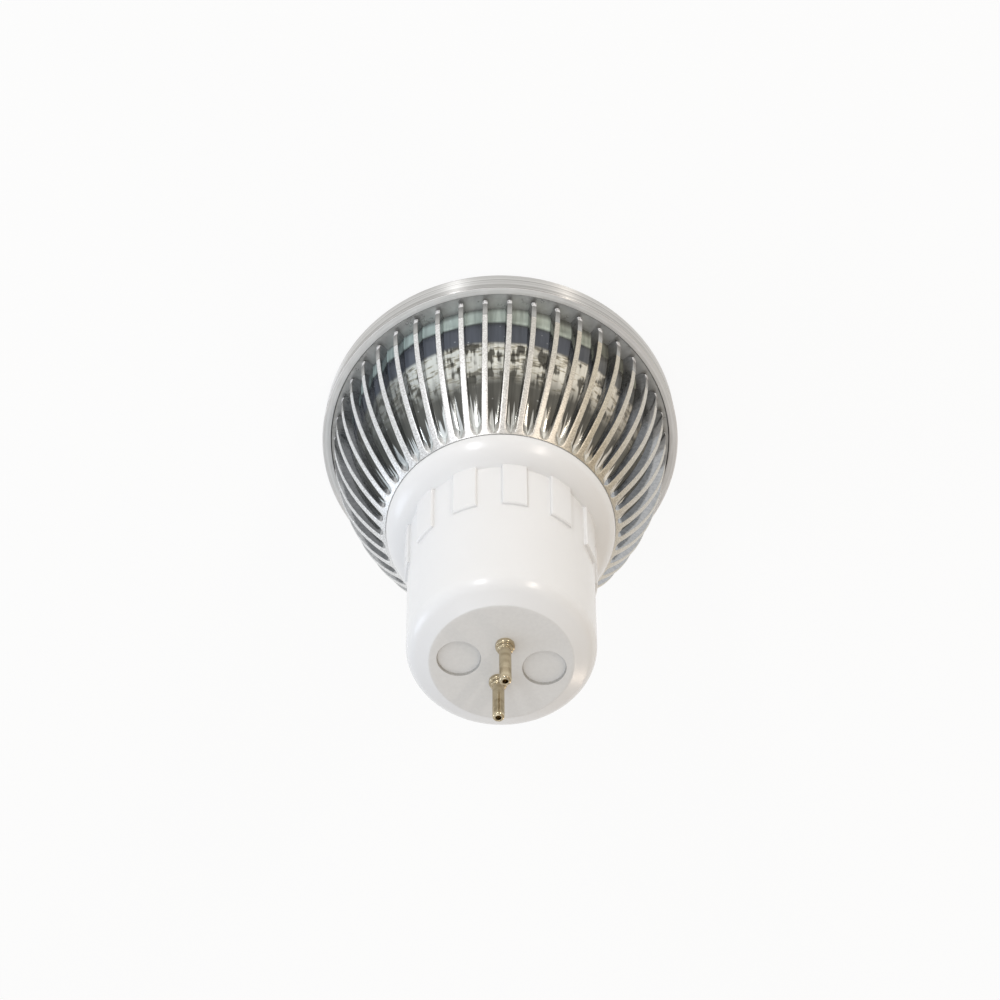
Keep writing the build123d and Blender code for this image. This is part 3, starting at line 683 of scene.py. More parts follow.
@dataclass
class HeatSink:
    """Die-cast bowl with leaning fins, made from one sector that is repeated round the axis."""

    crest: Bowl = field(default_factory=lambda: Bowl((23.4, 3.5), (14.85, 24.5), 2.0))
    groove: Bowl = field(default_factory=lambda: Bowl((21.7, 3.5), (13.75, 24.5), 1.95))
    fin_count: int = 45
    fin_phase: float = 3.0
    lean: float = 2.4
    nose: float = 0.8
    tip_radius: float = 15.12
    tip_half: float = 0.68
    rim_half: float = 1.3
    crest_round: float = 0.09
    nose_round: float = 0.24
    floor_round: float = 0.12
    nose_margin: float = 0.3
    depth_share: float = 0.45
    width_share: float = 0.35
    ledge_z: float = 3.5
    thread_radius: float = 23.75
    front_z: float = 1.15
    seat_radius: float = 22.2
    seat_z: float = 2.5
    mouth_radius: float = 20.4
    floor_radius: float = 17.7
    floor_z: tuple[float, float] = (15.2, 18.2)
    lead_radius: float = 2.0
    bore_radius: float = 9.6
    pocket_radius: float = 10.6
    pocket_z: float = 22.95
    crest_rows: int = 30
    tip_shares: tuple[float, ...] = (0.0, 0.05, 0.15, 0.33, 0.6, 1.0)
    nose_steps: int = 4
    # Rows above the nose that take its painted glint and shade.
    nose_glint_rows: int = 6
    flank_column: int = 4
    slide_from_z: float = 21.5
    slide_share: float = 0.85
    slide_range: tuple[float, float] = (0.25, 0.3)
    slide_back: float = -0.4
    # Above this height and below this y, flanks take the crest finish as painted light.
    lit_flank_z: float = 22.6
    lit_flank_y: float = -9.0

    def __post_init__(self) -> None:
        """Lays out one groove's centre line and edge lines in plan."""
        pitch = FULL_TURN / self.fin_count
        self.half_pitch = pitch / 2
        self.rim_turn = radians(self.fin_phase) + self.half_pitch
        tip_turn = self.rim_turn + radians(self.lean)
        self.tip_centre_radius = self.tip_radius + self.tip_half
        self.tip_turn = tip_turn
        self.tip = Vector((cos(tip_turn), sin(tip_turn))) * self.tip_centre_radius
        rim = Vector((cos(self.rim_turn), sin(self.rim_turn))) * self.crest.start[0]
        self.length = (rim - self.tip).length
        self.along = (rim - self.tip).normalized()
        self.side = Vector((-self.along.y, self.along.x))

    def turn_on_line(self, radius: float, share: float) -> float:
        """Finds where a line of the groove reaches a distance from the axis.

        Args:
            radius: Distance from the axis.
            share: 0 for the centre line, 1 or -1 for the edge lines.

        Returns:
            The polar angle of that point.
        """
        start = self.tip + self.side * (share * self.tip_half)
        slope = share * (self.rim_half - self.tip_half) / self.length
        way = self.along + self.side * slope
        a, b, c = way.dot(way), start.dot(way), start.dot(start) - radius**2
        reach = (-b + sqrt(max(b * b - a * c, 0.0))) / a
        point = start + way * reach
        return atan2(point.y, point.x)

    def centre_turn(self, radius: float) -> float:
        """Returns the polar angle of a groove's centre line."""
        at_tip = radius < self.tip_centre_radius
        return self.tip_turn if at_tip else self.turn_on_line(radius, 0)

    def edge_turn(self, radius: float, side: int) -> float:
        """Finds a groove's edge, which closes in an arc at the tip.

        Args:
            radius: Distance from the axis.
            side: 1 or -1 for the edge.

        Returns:
            The polar angle of the edge.
        """
        if radius >= self.tip_centre_radius:
            return self.turn_on_line(radius, side)
        near = self.tip_centre_radius
        cosine = (radius**2 + near**2 - self.tip_half**2) / (2 * radius * near)
        return self.tip_turn + side * acos(min(cosine, 1.0))

    def profile(self, bowl: Bowl, last: float) -> list[Row]:
        """Returns rows on a bowl, close together at the groove's tip.

        Args:
            bowl: The crest's or the groove floor's arc.
            last: The arc's own angle at the last row.

        Returns:
            Radius, height and normal of each row.
        """
        radii = [self.tip_radius + share * self.tip_half for share in self.tip_shares]
        turns = [bowl.turn_at_radius(radius) for radius in radii]
        first = turns[-1]
        turns += [first + (last - first) * (k + 1) / self.crest_rows
                  for k in range(self.crest_rows)]
        return [bowl.at(turn) for turn in turns]

    def crest_profile(self) -> list[Row]:
        """Lays out the crest from the groove's tip to the ledge under the nose.

        Returns:
            Radius, height and normal of each row.
        """
        nose_z = self.ledge_z + self.nose
        rows = self.profile(self.crest, self.crest.turn_at_height(nose_z))
        centre_r = rows[-1][0] - self.nose
        for k in range(1, self.nose_steps + 1):
            turn = -pi / 2 * k / self.nose_steps
            rows.append((centre_r + self.nose * cos(turn), nose_z + self.nose * sin(turn),
                         cos(turn), sin(turn)))
        return rows

    def groove_profile(self) -> list[Row]:
        """Lays out the groove's floor in as many rows as the crest has.

        Returns:
            Radius, height and normal of each row.
        """
        rows = self.profile(self.groove, self.groove.turn_at_height(self.ledge_z))
        start_r = rows[-1][0]
        end_r = self.crest_profile()[-1][0]
        for k in range(1, self.nose_steps + 1):
            radius = start_r + (end_r - start_r) * k / self.nose_steps
            rows.append((radius, self.ledge_z, 0.0, 1.0))
        return rows

    def fin_row(self, crest: Row, groove: Row, first: bool, last: bool) -> list[Vector]:
        """Places one row of the sector across half a fin, a groove and half a fin.

        Args:
            crest: Radius, height and normal of the crest.
            groove: Radius, height and normal of the groove's floor.
            first: Whether the groove has no width yet.
            last: Whether the crest has come down to the floor.

        Returns:
            The row's points.
        """
        sides = []
        for side in (-1, 1):
            edge = self.edge_turn(crest[0], side)
            middle = self.centre_turn(crest[0]) + side * self.half_pitch
            if first:
                spot = [(crest, 0.0, self.tip_turn)] * 5
                sides.append([(crest, 0.0, middle), (crest, 0.0, (middle + edge) / 2)] + spot)
                continue
            at_nose = crest[1] < self.ledge_z + self.nose + self.nose_margin
            cut = 0.0 if last else self.nose_round if at_nose else self.crest_round
            deep = self.depth_share * max(crest[1] - groove[1], 0.0)
            turn = self.edge_turn(groove[0], 1) - self.edge_turn(groove[0], -1)
            wide = self.width_share * turn * groove[0]
            fill = 0.0 if groove[3] == 1.0 else min(self.floor_round, deep, wide)
            low_edge = self.edge_turn(groove[0] + groove[2] * fill, side)
            floor_edge = self.edge_turn(groove[0], side)
            inset_edge = self.edge_turn(crest[0] - crest[2] * cut, side)
            sides.append([
                (crest, 0.0, middle),
                (crest, 0.0, (middle + edge) / 2),
                (crest, 0.0, edge + side * cut / crest[0]),
                (crest, -ARC_MIDDLE * cut, edge + side * ARC_MIDDLE * cut / crest[0]),
                (crest, -cut, inset_edge),
                (groove, fill, low_edge),
                (groove, ARC_MIDDLE * fill, floor_edge - side * ARC_MIDDLE * fill / groove[0]),
                (groove, 0.0, floor_edge - side * fill / groove[0]),
            ])
        if first:
            line = sides[0] + [(crest, 0.0, self.tip_turn)] * 3 + sides[1][::-1]
        else:
            line = sides[0] + [(groove, 0.0, self.centre_turn(groove[0]))] + sides[1][::-1]
        points = []
        for (radius, z, normal_r, normal_z), lift, turn in line:
            reach = radius + normal_r * lift
            points.append(Vector((reach * cos(turn), reach * sin(turn), z + normal_z * lift)))
        return points

    def plain_row(self, radius: float, z: float, columns: int, centre: float) -> list[Vector]:
        """Returns a row of evenly spread points on a circle."""
        turns = [centre + self.half_pitch * (2 * k / (columns - 1) - 1) for k in range(columns)]
        return [Vector((radius * cos(t), radius * sin(t), z)) for t in turns]

    def rows(self) -> tuple[list[list[Vector]], int]:
        """Lays out the closed sector, from the neck down the outside and up the inside.

        Returns:
            The points of each row, and how many rows carry the fins.
        """
        crest, groove = self.crest_profile(), self.groove_profile()
        count = len(crest)
        fins = [self.fin_row(crest[k], groove[k], k == 0, k == count - 1) for k in range(count)]
        columns = len(fins[0])
        centre = self.turn_on_line(self.crest.start[0], 0)
        neck_r, neck_z = self.crest.end
        top = self.plain_row(neck_r, neck_z, columns, self.tip_turn)
        section = [
            (self.thread_radius, self.ledge_z), (self.thread_radius, self.front_z),
            (self.seat_radius, self.front_z), (self.seat_radius, self.seat_z),
            (self.mouth_radius, self.seat_z), (self.floor_radius, self.floor_z[0]),
            (self.lead_radius, self.floor_z[0]), (self.lead_radius, self.floor_z[1]),
            (self.bore_radius, self.floor_z[1]), (self.bore_radius, self.pocket_z),
            (self.pocket_radius, self.pocket_z), (self.pocket_radius, neck_z),
        ]
        inside = [self.plain_row(r, z, columns, centre) for r, z in section]
        return [top] + fins + inside + [top], count

    def slide_tips(self, bm: BMesh) -> None:
        """Lets the near grooves run on to the flange and holds the others back a little.

        The real bulb's base sits slightly off centre, which covers the grooves' tips on one side.

        Args:
            bm: The whole heat sink.
        """
        tip_z = self.crest_profile()[0][1]
        end_r, end_z = self.crest.end
        fall = (self.tip_radius - end_r) / (end_z - tip_z)
        start, spread = self.slide_range
        for vert in bm.verts:
            reach, z = hypot(vert.co.x, vert.co.y) / MM, vert.co.z / MM
            if z < self.slide_from_z or reach < end_r - 0.01:
                continue
            below = (z - self.slide_from_z) / (tip_z - self.slide_from_z)
            along = below if z < tip_z else (end_z - z) / (end_z - tip_z)
            near = (-vert.co.y / MM / reach - start) / spread
            drawn = min(max(near, self.slide_back), 1.0)
            move = self.slide_share * (end_z - tip_z) * along * drawn
            vert.co.z += move * MM
            shrink = 1 - move * fall / reach
            vert.co.x *= shrink
            vert.co.y *= shrink

    def build(self) -> None:
        """Makes one sector from a grid, gives each face its finish and repeats it."""
        finishes = [Metal.CREST, Metal.GROOVE, Metal.CAST, Metal.FLANK, Metal.NOSE, Metal.LEDGE]
        rows, fin_rows = self.rows()
        columns = len(rows[0])
        bm = bmesh.new()
        bmesh.ops.create_grid(bm, x_segments=columns - 1, y_segments=len(rows) - 1, size=1.0)
        bm.verts.ensure_lookup_table()
        for index, vert in enumerate(bm.verts):
            vert.co = rows[index // columns][index % columns] * MM
        bm.faces.ensure_lookup_table()
        for index, face in enumerate(bm.faces):
            row, column = divmod(index, columns - 1)
            left, right = self.flank_column, columns - 2 - self.flank_column
            inside_groove = left < column < right
            finish = Metal.CREST
            if row > fin_rows:
                finish = Metal.CAST
            elif row == fin_rows or (inside_groove and row >= fin_rows - self.nose_steps):
                finish = Metal.LEDGE
            elif row > 0 and inside_groove:
                finish = Metal.GROOVE
            elif row > 0 and column in (left, right):
                finish = Metal.FLANK
            elif row > fin_rows - self.nose_steps - self.nose_glint_rows:
                # Painted glint and shade on the nose and the rows just above it.
                finish = Metal.NOSE
            face.material_index = finishes.index(finish)
        bmesh.ops.remove_doubles(bm, verts=bm.verts, dist=MERGE)
        bmesh.ops.spin(bm, geom=bm.verts[:] + bm.edges[:] + bm.faces[:], cent=(0, 0, 0),
                       axis=(0, 0, 1), dvec=(0, 0, 0), steps=self.fin_count - 1,
                       angle=FULL_TURN * (self.fin_count - 1) / self.fin_count,
                       use_merge=False, use_duplicate=True)
        bmesh.ops.remove_doubles(bm, verts=bm.verts, dist=MERGE)
        self.slide_tips(bm)
        # Near-side flanks close to the neck take the bright crest finish: painted light over the
        # shade at the grooves' tips.
        for face in bm.faces:
            spot = face.calc_center_median() / MM
            on_flank = face.material_index == finishes.index(Metal.FLANK)
            if on_flank and spot.z > self.lit_flank_z and spot.y < self.lit_flank_y:
                face.material_index = finishes.index(Metal.CREST)
        piece(bm, "heat_sink_fins", finishes, "heat_sink")


@dataclass
class BaseHousing:
    """Moulded white base with its flange, lugs, rounded end and dimples."""

    sink_top_z: float = 24.5
    flange_radius: float = 14.75
    flange_wall: float = 0.5
    flange_top_z: float = 27.4
    flange_sag: float = 0.35
    root_radius: float = 11.8
    end_radius: float = 11.0
    end_z: float = 50.5
    edge_radius: float = 2.9
    edge_bend: float = 2.2
    shoulder: tuple[float, float] = (8.25, 0.69)
    shoulder_turn: float = radians(65)
    wall: float = 1.3
    end_wall: float = 2.0
    spigot_radius: float = 10.45
    spigot_z: float = 23.45
    lug_count: int = 12
    lug_deg: int = 15
    lug_phase: float = 90.0
    lug_rise: float = 0.4
    lug_edge: float = 0.14
    lug_top_z: float = 35.2
    dimple_radius: float = 2.48
    dimple_depth: float = 0.35
    dimple_x: float = 4.91
    hole_radius: float = 0.43
    pin_y: float = 2.665
    soft: float = 0.05
    near: float = 0.01
    steps: int = 360
    dome_steps: int = 8
    edge_steps: int = 9
    dimple_steps: int = 72
    hole_steps: int = 32

    def dome(self) -> list[tuple[float, float]]:
        """Lays out the flange's curve.

        Returns:
            Radius and height of each point, from the flange's wall to the body.
        """
        start = Vector((self.flange_radius, self.sink_top_z + self.flange_wall))
        end = Vector((self.root_radius, self.flange_top_z))
        middle = (start + end) / 2 + Vector((self.flange_sag, self.flange_sag))
        points = []
        for k in range(self.dome_steps + 1):
            t = k / self.dome_steps
            spot = start * (1 - t) * (1 - 2 * t) + middle * 4 * t * (1 - t) + end * t * (2 * t - 1)
            points.append((spot.x, spot.y))
        return points

    def section(self) -> list[tuple[float, float]]:
        """Lays out the outer section.

        Returns:
            Radius and height of each corner, from the spigot to the end face.
        """
        low_edge_z = self.end_z - self.edge_radius
        outer = [(self.spigot_radius, self.spigot_z), (self.spigot_radius, self.sink_top_z),
                 (self.flange_radius - self.soft, self.sink_top_z),
                 (self.flange_radius, self.sink_top_z + self.soft)]
        outer += self.dome()
        share = (self.lug_top_z - self.flange_top_z) / (low_edge_z - self.flange_top_z)
        lug_r = self.root_radius + (self.end_radius - self.root_radius) * share
        outer += [(self.root_radius - 0.01, self.flange_top_z + 0.12), (lug_r, self.lug_top_z)]
        bend = self.end_radius - self.edge_bend
        start_z = self.end_z - self.shoulder[1] - self.edge_bend * sin(self.shoulder_turn)
        for k in range(self.edge_steps + 1):
            turn = self.shoulder_turn * k / self.edge_steps
            outer.append((bend + self.edge_bend * cos(turn), start_z + self.edge_bend * sin(turn)))
        rim = self.shoulder[0]
        slope = pi / 2 - self.shoulder_turn
        # The cone runs out into the flat end face through short chords.
        outer += [(rim + 0.22 * cos(slope), self.end_z - 0.22 * sin(slope)),
                  (rim + self.soft, self.end_z - 0.02), (rim - 0.15, self.end_z)]
        return outer + [(rim - 0.6, self.end_z)]

    def hollow(self) -> list[tuple[float, float]]:
        """Lays out the inner section.

        Returns:
            Radius and height of each corner, from the spigot to the inside of the end wall.
        """
        inner_round = self.edge_radius - self.wall
        inner_end = self.end_radius - self.wall
        inner_z = self.end_z - self.end_wall
        root = self.spigot_radius - self.wall
        return [(root, self.spigot_z), (root, self.flange_top_z),
                (self.root_radius - self.wall, self.flange_top_z + self.wall),
                (inner_end, inner_z - inner_round), (inner_end - inner_round, inner_z)]

    def raise_lugs(self, bm: BMesh) -> None:
        """Raises the lugs from the body's faces above the flange.

        Args:
            bm: The spun body.
        """
        chosen = []
        for face in bm.faces:
            spot = face.calc_center_median() / MM
            turn = degrees(atan2(spot.y, spot.x)) - self.lug_phase
            pitch = 360 / self.lug_count
            off = (turn + pitch / 2) % pitch - pitch / 2
            reach = hypot(spot.x, spot.y)
            low = self.flange_top_z - 0.45
            if abs(off) < self.lug_deg / 2 and low < spot.z < self.lug_top_z and (
                    self.end_radius < reach < self.root_radius + self.lug_rise):
                chosen.append(face)
        made = bmesh.ops.extrude_face_region(bm, geom=chosen)["geom"]
        bmesh.ops.delete(bm, geom=chosen, context="FACES_ONLY")
        caps = [g for g in made if isinstance(g, bmesh.types.BMFace)]
        self.push_out(caps, self.lug_rise - self.lug_edge)
        bmesh.ops.inset_region(bm, faces=caps, thickness=self.lug_edge * MM, depth=0,
                               use_boundary=True, use_even_offset=True)
        self.push_out(caps, self.lug_edge)

    def push_out(self, faces: Sequence[bmesh.types.BMFace], rise: float) -> None:
        """Moves faces straight out from the axis, tapering to nothing in the flange's curve.

        Args:
            faces: The faces to move.
            rise: How far they move.
        """
        for vert in {v for face in faces for v in face.verts}:
            reach = hypot(vert.co.x, vert.co.y) / MM
            limit = self.root_radius + self.lug_rise
            room = rise if vert.co.z / MM > self.flange_top_z - 0.02 else max(limit - reach, 0.0)
            grow = (reach + min(rise, room)) / reach
            vert.co.x *= grow
            vert.co.y *= grow

    def ring_at(self, bm: BMesh, x: float, y: float, radius: float, z: float,
                segments: int) -> list[bmesh.types.BMEdge]:
        """Makes a loose circle of edges.

        Args:
            bm: The mesh.
            x: Place of the circle's centre.
            y: Place of the circle's centre.
            radius: The circle's radius.
            z: The circle's height.
            segments: Number of edges.

        Returns:
            The circle's edges.
        """
        spot = Matrix.Translation((x * MM, y * MM, z * MM))
        made = bmesh.ops.create_circle(bm, segments=segments, radius=radius * MM, matrix=spot)
        return list({edge for vert in made["verts"] for edge in vert.link_edges})

    def step(self, bm: BMesh, edges: list[bmesh.types.BMEdge], x: float, y: float,
             scale: float, drop: float) -> list[bmesh.types.BMEdge]:
        """Extrudes a circle of edges, scales it about its centre and lowers it.

        Args:
            bm: The mesh.
            edges: The circle's edges.
            x: Place of the circle's centre.
            y: Place of the circle's centre.
            scale: Factor on the circle's radius.
            drop: Distance that the new circle is lowered.

        Returns:
            The new circle's edges.
        """
        made = bmesh.ops.extrude_edge_only(bm, edges=edges)["geom"]
        verts = [g for g in made if isinstance(g, bmesh.types.BMVert)]
        about = Matrix.Translation((-x * MM, -y * MM, 0))
        bmesh.ops.scale(bm, vec=(scale, scale, 1), verts=verts, space=about)
        bmesh.ops.translate(bm, vec=(0, 0, -drop * MM), verts=verts)
        return [g for g in made if isinstance(g, bmesh.types.BMEdge)
                and all(v in verts for v in g.verts)]

    def open_edges(self, bm: BMesh, z: float) -> list[bmesh.types.BMEdge]:
        """Returns the open edges at a height."""
        return [edge for edge in bm.edges
                if edge.is_boundary and abs(edge.verts[0].co.z / MM - z) < self.near]

    def close_end(self, bm: BMesh) -> None:
        """Closes the end wall, with two dimples and a hole for each pin.

        Args:
            bm: The spun body, open at its end face and inside it.
        """
        outer = self.open_edges(bm, self.end_z)
        inner = self.open_edges(bm, self.end_z - self.end_wall)
        wide, narrow = self.dimple_radius + self.soft, self.dimple_radius - self.soft
        for side in (-1, 1):
            x = side * self.dimple_x
            loop = self.ring_at(bm, x, 0, wide, self.end_z, self.dimple_steps)
            outer += loop
            loop = self.step(bm, loop, x, 0, self.dimple_radius / wide, self.soft)
            loop = self.step(bm, loop, x, 0, 1.0, self.dimple_depth - 2 * self.soft)
            loop = self.step(bm, loop, x, 0, narrow / self.dimple_radius, self.soft)
            bmesh.ops.contextual_create(bm, geom=loop)
            y = side * self.pin_y
            loop = self.ring_at(bm, 0, y, self.hole_radius, self.end_z, self.hole_steps)
            outer += loop
            inner += self.step(bm, loop, 0, y, 1.0, self.end_wall)
        bmesh.ops.triangle_fill(bm, edges=outer, use_beauty=True, normal=(0, 0, 1))
        bmesh.ops.triangle_fill(bm, edges=inner, use_beauty=True, normal=(0, 0, -1))

    def build(self) -> None:
        """Makes the housing as one closed shell."""
        finishes = [Moulded.WHITE, Moulded.SHADED_END_FACE, Moulded.DIMPLE_SHADE]
        line = self.section()[::-1] + self.hollow()
        bm = turned(line, self.steps, closed=False, first_deg=0.5)
        self.raise_lugs(bm)
        self.close_end(bm)
        bmesh.ops.remove_doubles(bm, verts=bm.verts, dist=MERGE)
        for face in bm.faces:
            spot = face.calc_center_median() / MM
            face.normal_update()
            # The end face takes a greyer colour: painted shade for a face turned away from the
            # lamps.
            on_end = spot.z > self.end_z - self.dimple_depth - self.near
            if on_end and hypot(spot.x, spot.y) < self.shoulder[0] - 2 * self.near:
                off = hypot(abs(spot.x) - self.dimple_x, spot.y)
                # Painted shade: a grey line on each dimple's step.
                on_shaded_step = off < self.dimple_radius + 2 * self.soft and abs(face.normal.z) < 0.9
                finish = Moulded.DIMPLE_SHADE if on_shaded_step else Moulded.SHADED_END_FACE
                face.material_index = finishes.index(finish)
        piece(bm, "base_housing_moulded", finishes, "base_housing")


@dataclass
class ContactPins:
    """The two turned pins with stepped collars and hollow tips."""

    end_z: float = 50.5
    tail_z: float = 44.1
    tail_radius: float = 0.4
    collar: tuple[float, float] = (1.1, 0.45)
    upper: tuple[float, float] = (0.9, 0.5)
    radius: float = 0.69
    length: float = 6.2
    tip_round: float = 0.3
    hole: tuple[float, float] = (0.32, 1.2)
    pin_y: float = 2.665
    steps: int = 56

    def build(self) -> None:
        """Makes both pins."""
        first = self.end_z + self.collar[1]
        second = first + self.upper[1]
        tip = self.end_z + self.length
        section = [
            (0.0, self.tail_z), (self.tail_radius, self.tail_z), (self.tail_radius, self.end_z),
            (self.collar[0], self.end_z), (self.collar[0], first, 0.14),
            (self.upper[0], first, 0.05), (self.upper[0], second, 0.12),
            (self.radius, second, 0.06), (self.radius, tip, self.tip_round),
            (self.hole[0], tip, 0.07), (self.hole[0], tip - self.hole[1]),
            (0.0, tip - self.hole[1]),
        ]
        for side, node in ((-1, "contact_pin_a"), (1, "contact_pin_b")):
            bm = turned(section, self.steps, closed=False)
            bmesh.ops.translate(bm, vec=(0, side * self.pin_y * MM, 0), verts=bm.verts)
            piece(bm, node + "_turned", [Metal.PIN], node)


@dataclass
class Optics:
    """Four emitters, each under a collimator lens."""

    count: int = 4
    circle_radius: float = 10.04
    lens_radius: float = 7.0
    lens_z: tuple[float, float] = (2.6, 12.2)
    rim_height: float = 0.8
    lens_step: float = 0.5
    back_radius: float = 3.3
    cavity: tuple[float, float] = (2.3, 3.4)
    side_steps: int = 8
    emitter_side: float = 3.45
    emitter_z: tuple[float, float] = (12.4, 13.2)
    emitter_edge: float = 0.08
    dome_radius: float = 1.4
    dome_foot: float = 0.2
    dome_steps: int = 8
    lens_steps: int = 72
    emitter_steps: int = 48

    def lens(self) -> BMesh:
        """Makes one lens on the axis.

        Returns:
            The lens.
        """
        low, high = self.lens_z
        rim = low + self.rim_height
        side_r = self.lens_radius - self.lens_step
        side = []
        for k in range(self.side_steps + 1):
            t = k / self.side_steps
            swell = 4 * t * (1 - t) * self.lens_step
            side.append((side_r + (self.back_radius - side_r) * t + swell, rim + (high - rim) * t))
        section = [(0.0, low), (self.lens_radius, low, 0.1), (self.lens_radius, rim, 0.1)] + side
        section += [(self.cavity[0], high, 0.1), (self.cavity[0], high - self.cavity[1]),
                    (0.0, high - self.cavity[1] - 0.3)]
        return turned(section, self.lens_steps, closed=False)

    def emitter(self) -> BMesh:
        """Makes one emitter on the axis: a square base with a dome towards the front.

        Returns:
            The emitter.
        """
        front, back = self.emitter_z
        foot = front + self.dome_foot
        section = [(0.0, foot), (self.dome_radius, foot)]
        for k in range(self.dome_steps + 1):
            turn = pi / 2 * k / self.dome_steps
            section.append((self.dome_radius * cos(turn), front - self.dome_radius * sin(turn)))
        bm = turned(section, self.emitter_steps, closed=False)
        middle = Matrix.Translation((0, 0, (front + back) / 2 * MM))
        size = Matrix.Diagonal((self.emitter_side * MM, self.emitter_side * MM,
                                (back - front) * MM, 1))
        base = bmesh.ops.create_cube(bm, size=1.0, matrix=middle @ size)
        edges = list({e for v in base["verts"] for e in v.link_edges})
        made = bmesh.ops.bevel(bm, geom=edges, offset=self.emitter_edge * MM,
                               affect="EDGES", segments=2, profile=0.5, material=-1)
        for face in {f for v in made["verts"] for f in v.link_faces}:
            face.material_index = 1
        return bm

    def build(self) -> None:
        """Makes the lenses and the emitters on the diagonals."""
        for k in range(self.count):
            turn = radians(180 / self.count + 360 * k / self.count)
            spot = (self.circle_radius * cos(turn) * MM, self.circle_radius * sin(turn) * MM, 0)
            lens, emitter = self.lens(), self.emitter()
            for bm in (lens, emitter):
                bmesh.ops.translate(bm, vec=spot, verts=bm.verts)
            piece(lens, f"collimator_lens_{k + 1}_moulded", [Moulded.ACRYLIC],
                  f"collimator_lens_{k + 1}")
            piece(emitter, f"led_emitter_{k + 1}_domed", [Moulded.PHOSPHOR, Moulded.WHITE_BOARD],
                  f"led_emitter_{k + 1}")


@dataclass
class InnerParts:
    """CAD nodes inside the bulb that keep their shape and get a finish."""

    finishes: dict[str, Choice] = field(default_factory=lambda: {
        "lens_holder": Moulded.BLACK, "led_board": Moulded.WHITE_BOARD,
        "thermal_pad": Moulded.PAD, "board_screws": Metal.STEEL, "housing_screws": Metal.STEEL,
        "driver_board": Moulded.GREEN_BOARD, "smoothing_capacitor": Moulded.SLEEVE,
        "inductor_core": Moulded.FERRITE, "inductor_winding": Metal.COPPER,
        "bridge_rectifier": Moulded.EPOXY, "driver_chip": Moulded.EPOXY,
        "sense_resistor": Moulded.EPOXY, "ceramic_capacitor": Moulded.CERAMIC,
        "insulating_disc": Moulded.FIBRE, "lead_positive": Moulded.RED_JACKET,
        "lead_negative": Moulded.BLACK_JACKET,
    })

    def dress(self) -> None:
        """Gives each node its finish."""
        for name, finish in self.finishes.items():
            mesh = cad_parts[name].data
            mesh.materials.clear()
            mesh.materials.append(finish.value.material())
            log.info("%s: %s", name, finish.value.name)


@dataclass
class Lamp:
    """One soft box, placed round the bulb and aimed at its middle."""

    name: str
    azimuth: float
    elevation: float
    distance: float
    size: tuple[float, float]
    watts: float
    colour: str

    def build(self, aim: Vector) -> None:
        """Adds the lamp.

        Args:
            aim: The point that the lamp faces, in metres.
        """
        data = bpy.data.lights.new(self.name, "AREA")
        data.shape = "RECTANGLE"
        data.size, data.size_y = self.size
        data.energy = self.watts
        data.color = linear(self.colour)[:3]
        turn, rise = radians(self.azimuth), radians(self.elevation)
        way = Vector((cos(turn) * cos(rise), sin(turn) * cos(rise), sin(rise)))
        obj = bpy.data.objects.new(self.name, data)
        obj.location = aim + way * self.distance
        obj.rotation_euler = way.to_track_quat("Z", "Y").to_euler()
        bpy.context.scene.collection.objects.link(obj)


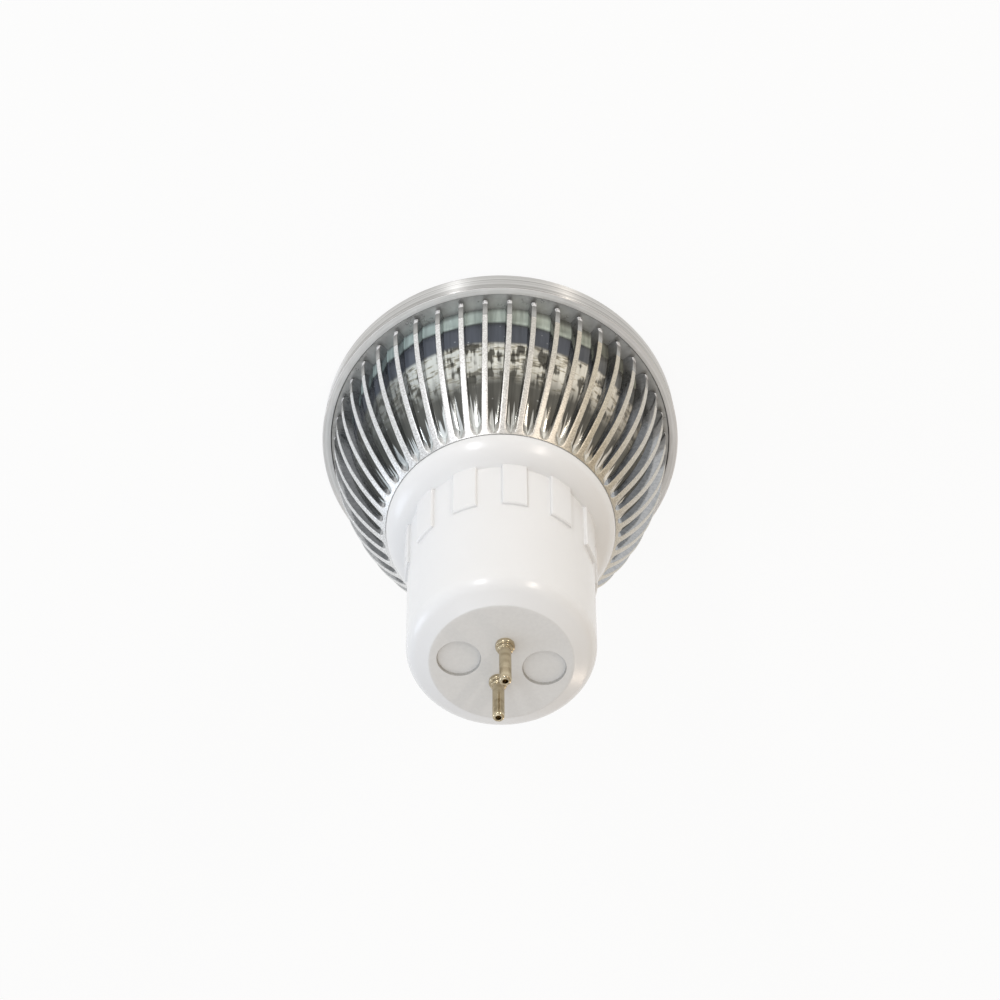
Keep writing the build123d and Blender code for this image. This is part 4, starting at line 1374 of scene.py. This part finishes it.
@dataclass
class Studio:
    """Floor, world, lamps and camera."""

    floor_size: float = 3.0
    floor_glow: float = 0.88
    aim: tuple[float, float, float] = (0.0, 0.0, 0.024)
    camera_place: tuple[float, float, float] = (15.20, -101.75, 172.81)
    look: tuple[float, float, float] = (-0.0810, 0.5446, -0.8348)
    up: tuple[float, float, float] = (0.1162, -0.8267, -0.5506)
    lens: float = 50.4
    horizon: str = "#E7E7E7"
    zenith: str = "#E8EAEB"
    cool_side: str = "#F8FAFF"
    warm_side: str = "#D6C8B6"
    lamps: tuple[Lamp, ...] = (
        Lamp("top box", 20, 78, 0.6, (0.30, 0.30), 0.3, "#F4F8FF"),
        Lamp("front strip", -61, 11, 0.6, (0.030, 0.26), 0.80, "#FBFCFF"),
        Lamp("warm strip", -114, 16, 0.6, (0.018, 0.34), 0.66, "#FFF5EC"),
        Lamp("side box", 15, 14, 0.6, (0.20, 0.30), 0.5, "#E6EFFF"),
        Lamp("rear box", 134, 22, 0.6, (0.06, 0.30), 0.3, "#FFEBD8"),
    )

    def background(self) -> None:
        """Makes a pale backdrop all round, a touch cooler overhead and warmer towards one side,
        which lights the bulb softly.
        """
        world = bpy.data.worlds.new("studio")
        bpy.context.scene.world = world
        world.use_nodes = True
        tree = world.node_tree
        tree.nodes.clear()
        way = add(tree, "ShaderNodeTexCoord").outputs["Generated"]
        axes = add(tree, "ShaderNodeSeparateXYZ", links={0: way})
        rise = add(tree, "ShaderNodeValToRGB",
                   {"stops": ((0.15, self.horizon), (0.85, self.zenith))},
                   {"Fac": axes.outputs["Z"]})
        across = add(tree, "ShaderNodeMapRange", {"From Min": -0.8, "From Max": 0.5},
                     {"Value": axes.outputs["X"]})
        sides = add(tree, "ShaderNodeValToRGB",
                    {"stops": ((0.0, self.warm_side), (1.0, self.cool_side))}, {"Fac": across})
        colour = add(tree, "ShaderNodeMix", MULTIPLY, {6: rise, 7: sides})
        sky = add(tree, "ShaderNodeBackground", {"Strength": 1.0}, {"Color": colour})
        add(tree, "ShaderNodeOutputWorld", links={"Surface": sky})

    def floor(self) -> None:
        """Lays a pale paper floor that keeps the bulb's shadow."""
        bm = bmesh.new()
        bmesh.ops.create_grid(bm, x_segments=1, y_segments=1, size=self.floor_size / 2)
        mesh = bpy.data.meshes.new("floor")
        bm.to_mesh(mesh)
        bm.free()
        obj = bpy.data.objects.new("floor", mesh)
        bpy.context.scene.collection.objects.link(obj)
        made = bpy.data.materials.new("white paper")
        made.use_nodes = True
        tree = made.node_tree
        tree.nodes.clear()
        path = add(tree, "ShaderNodeLightPath").outputs
        first = add(tree, "ShaderNodeMath", {"operation": "MAXIMUM"},
                    {0: path["Is Camera Ray"], 1: path["Is Glossy Ray"]})
        seen = add(tree, "ShaderNodeMath", {"operation": "MAXIMUM"},
                   {0: first, 1: path["Is Transmission Ray"]})
        share = add(tree, "ShaderNodeMath", {"operation": "MULTIPLY", 1: self.floor_glow},
                    {0: seen})
        paper = add(tree, "ShaderNodeBsdfDiffuse", {"Color": linear("#F2F2F0")})
        white = add(tree, "ShaderNodeEmission", {"Color": linear("#FFFFFF"), "Strength": 1.0})
        mixed = add(tree, "ShaderNodeMixShader", links={"Fac": share, 1: paper, 2: white})
        add(tree, "ShaderNodeOutputMaterial", links={"Surface": mixed})
        mesh.materials.append(made)

    def camera(self) -> None:
        """Sets the camera at the photograph's viewing angle."""
        data = bpy.data.cameras.new("camera")
        data.lens = self.lens
        data.sensor_width = 36.0
        data.clip_start = 0.01
        obj = bpy.data.objects.new("camera", data)
        look, up = Vector(self.look).normalized(), Vector(self.up)
        right = look.cross(up).normalized()
        up = right.cross(look)
        turn = Matrix((right, up, -look)).transposed().to_4x4()
        obj.matrix_world = Matrix.Translation(Vector(self.camera_place) * MM) @ turn
        bpy.context.scene.collection.objects.link(obj)
        bpy.context.scene.camera = obj

    def build(self) -> None:
        """Sets up the studio."""
        bpy.context.scene.view_settings.view_transform = "Standard"
        self.background()
        self.floor()
        for lamp in self.lamps:
            lamp.build(Vector(self.aim))
        self.camera()
        log.info("studio: %d lamps", len(self.lamps))


def main() -> None:
    """Builds the bulb and its studio."""
    logging.basicConfig(level=logging.INFO, format="%(name)s %(message)s")
    Studio().build()
    for part in (FrontRing(), HeatSink(), BaseHousing(), ContactPins(), Optics()):
        part.build()
    InnerParts().dress()


if __name__ == "__main__":
    main()
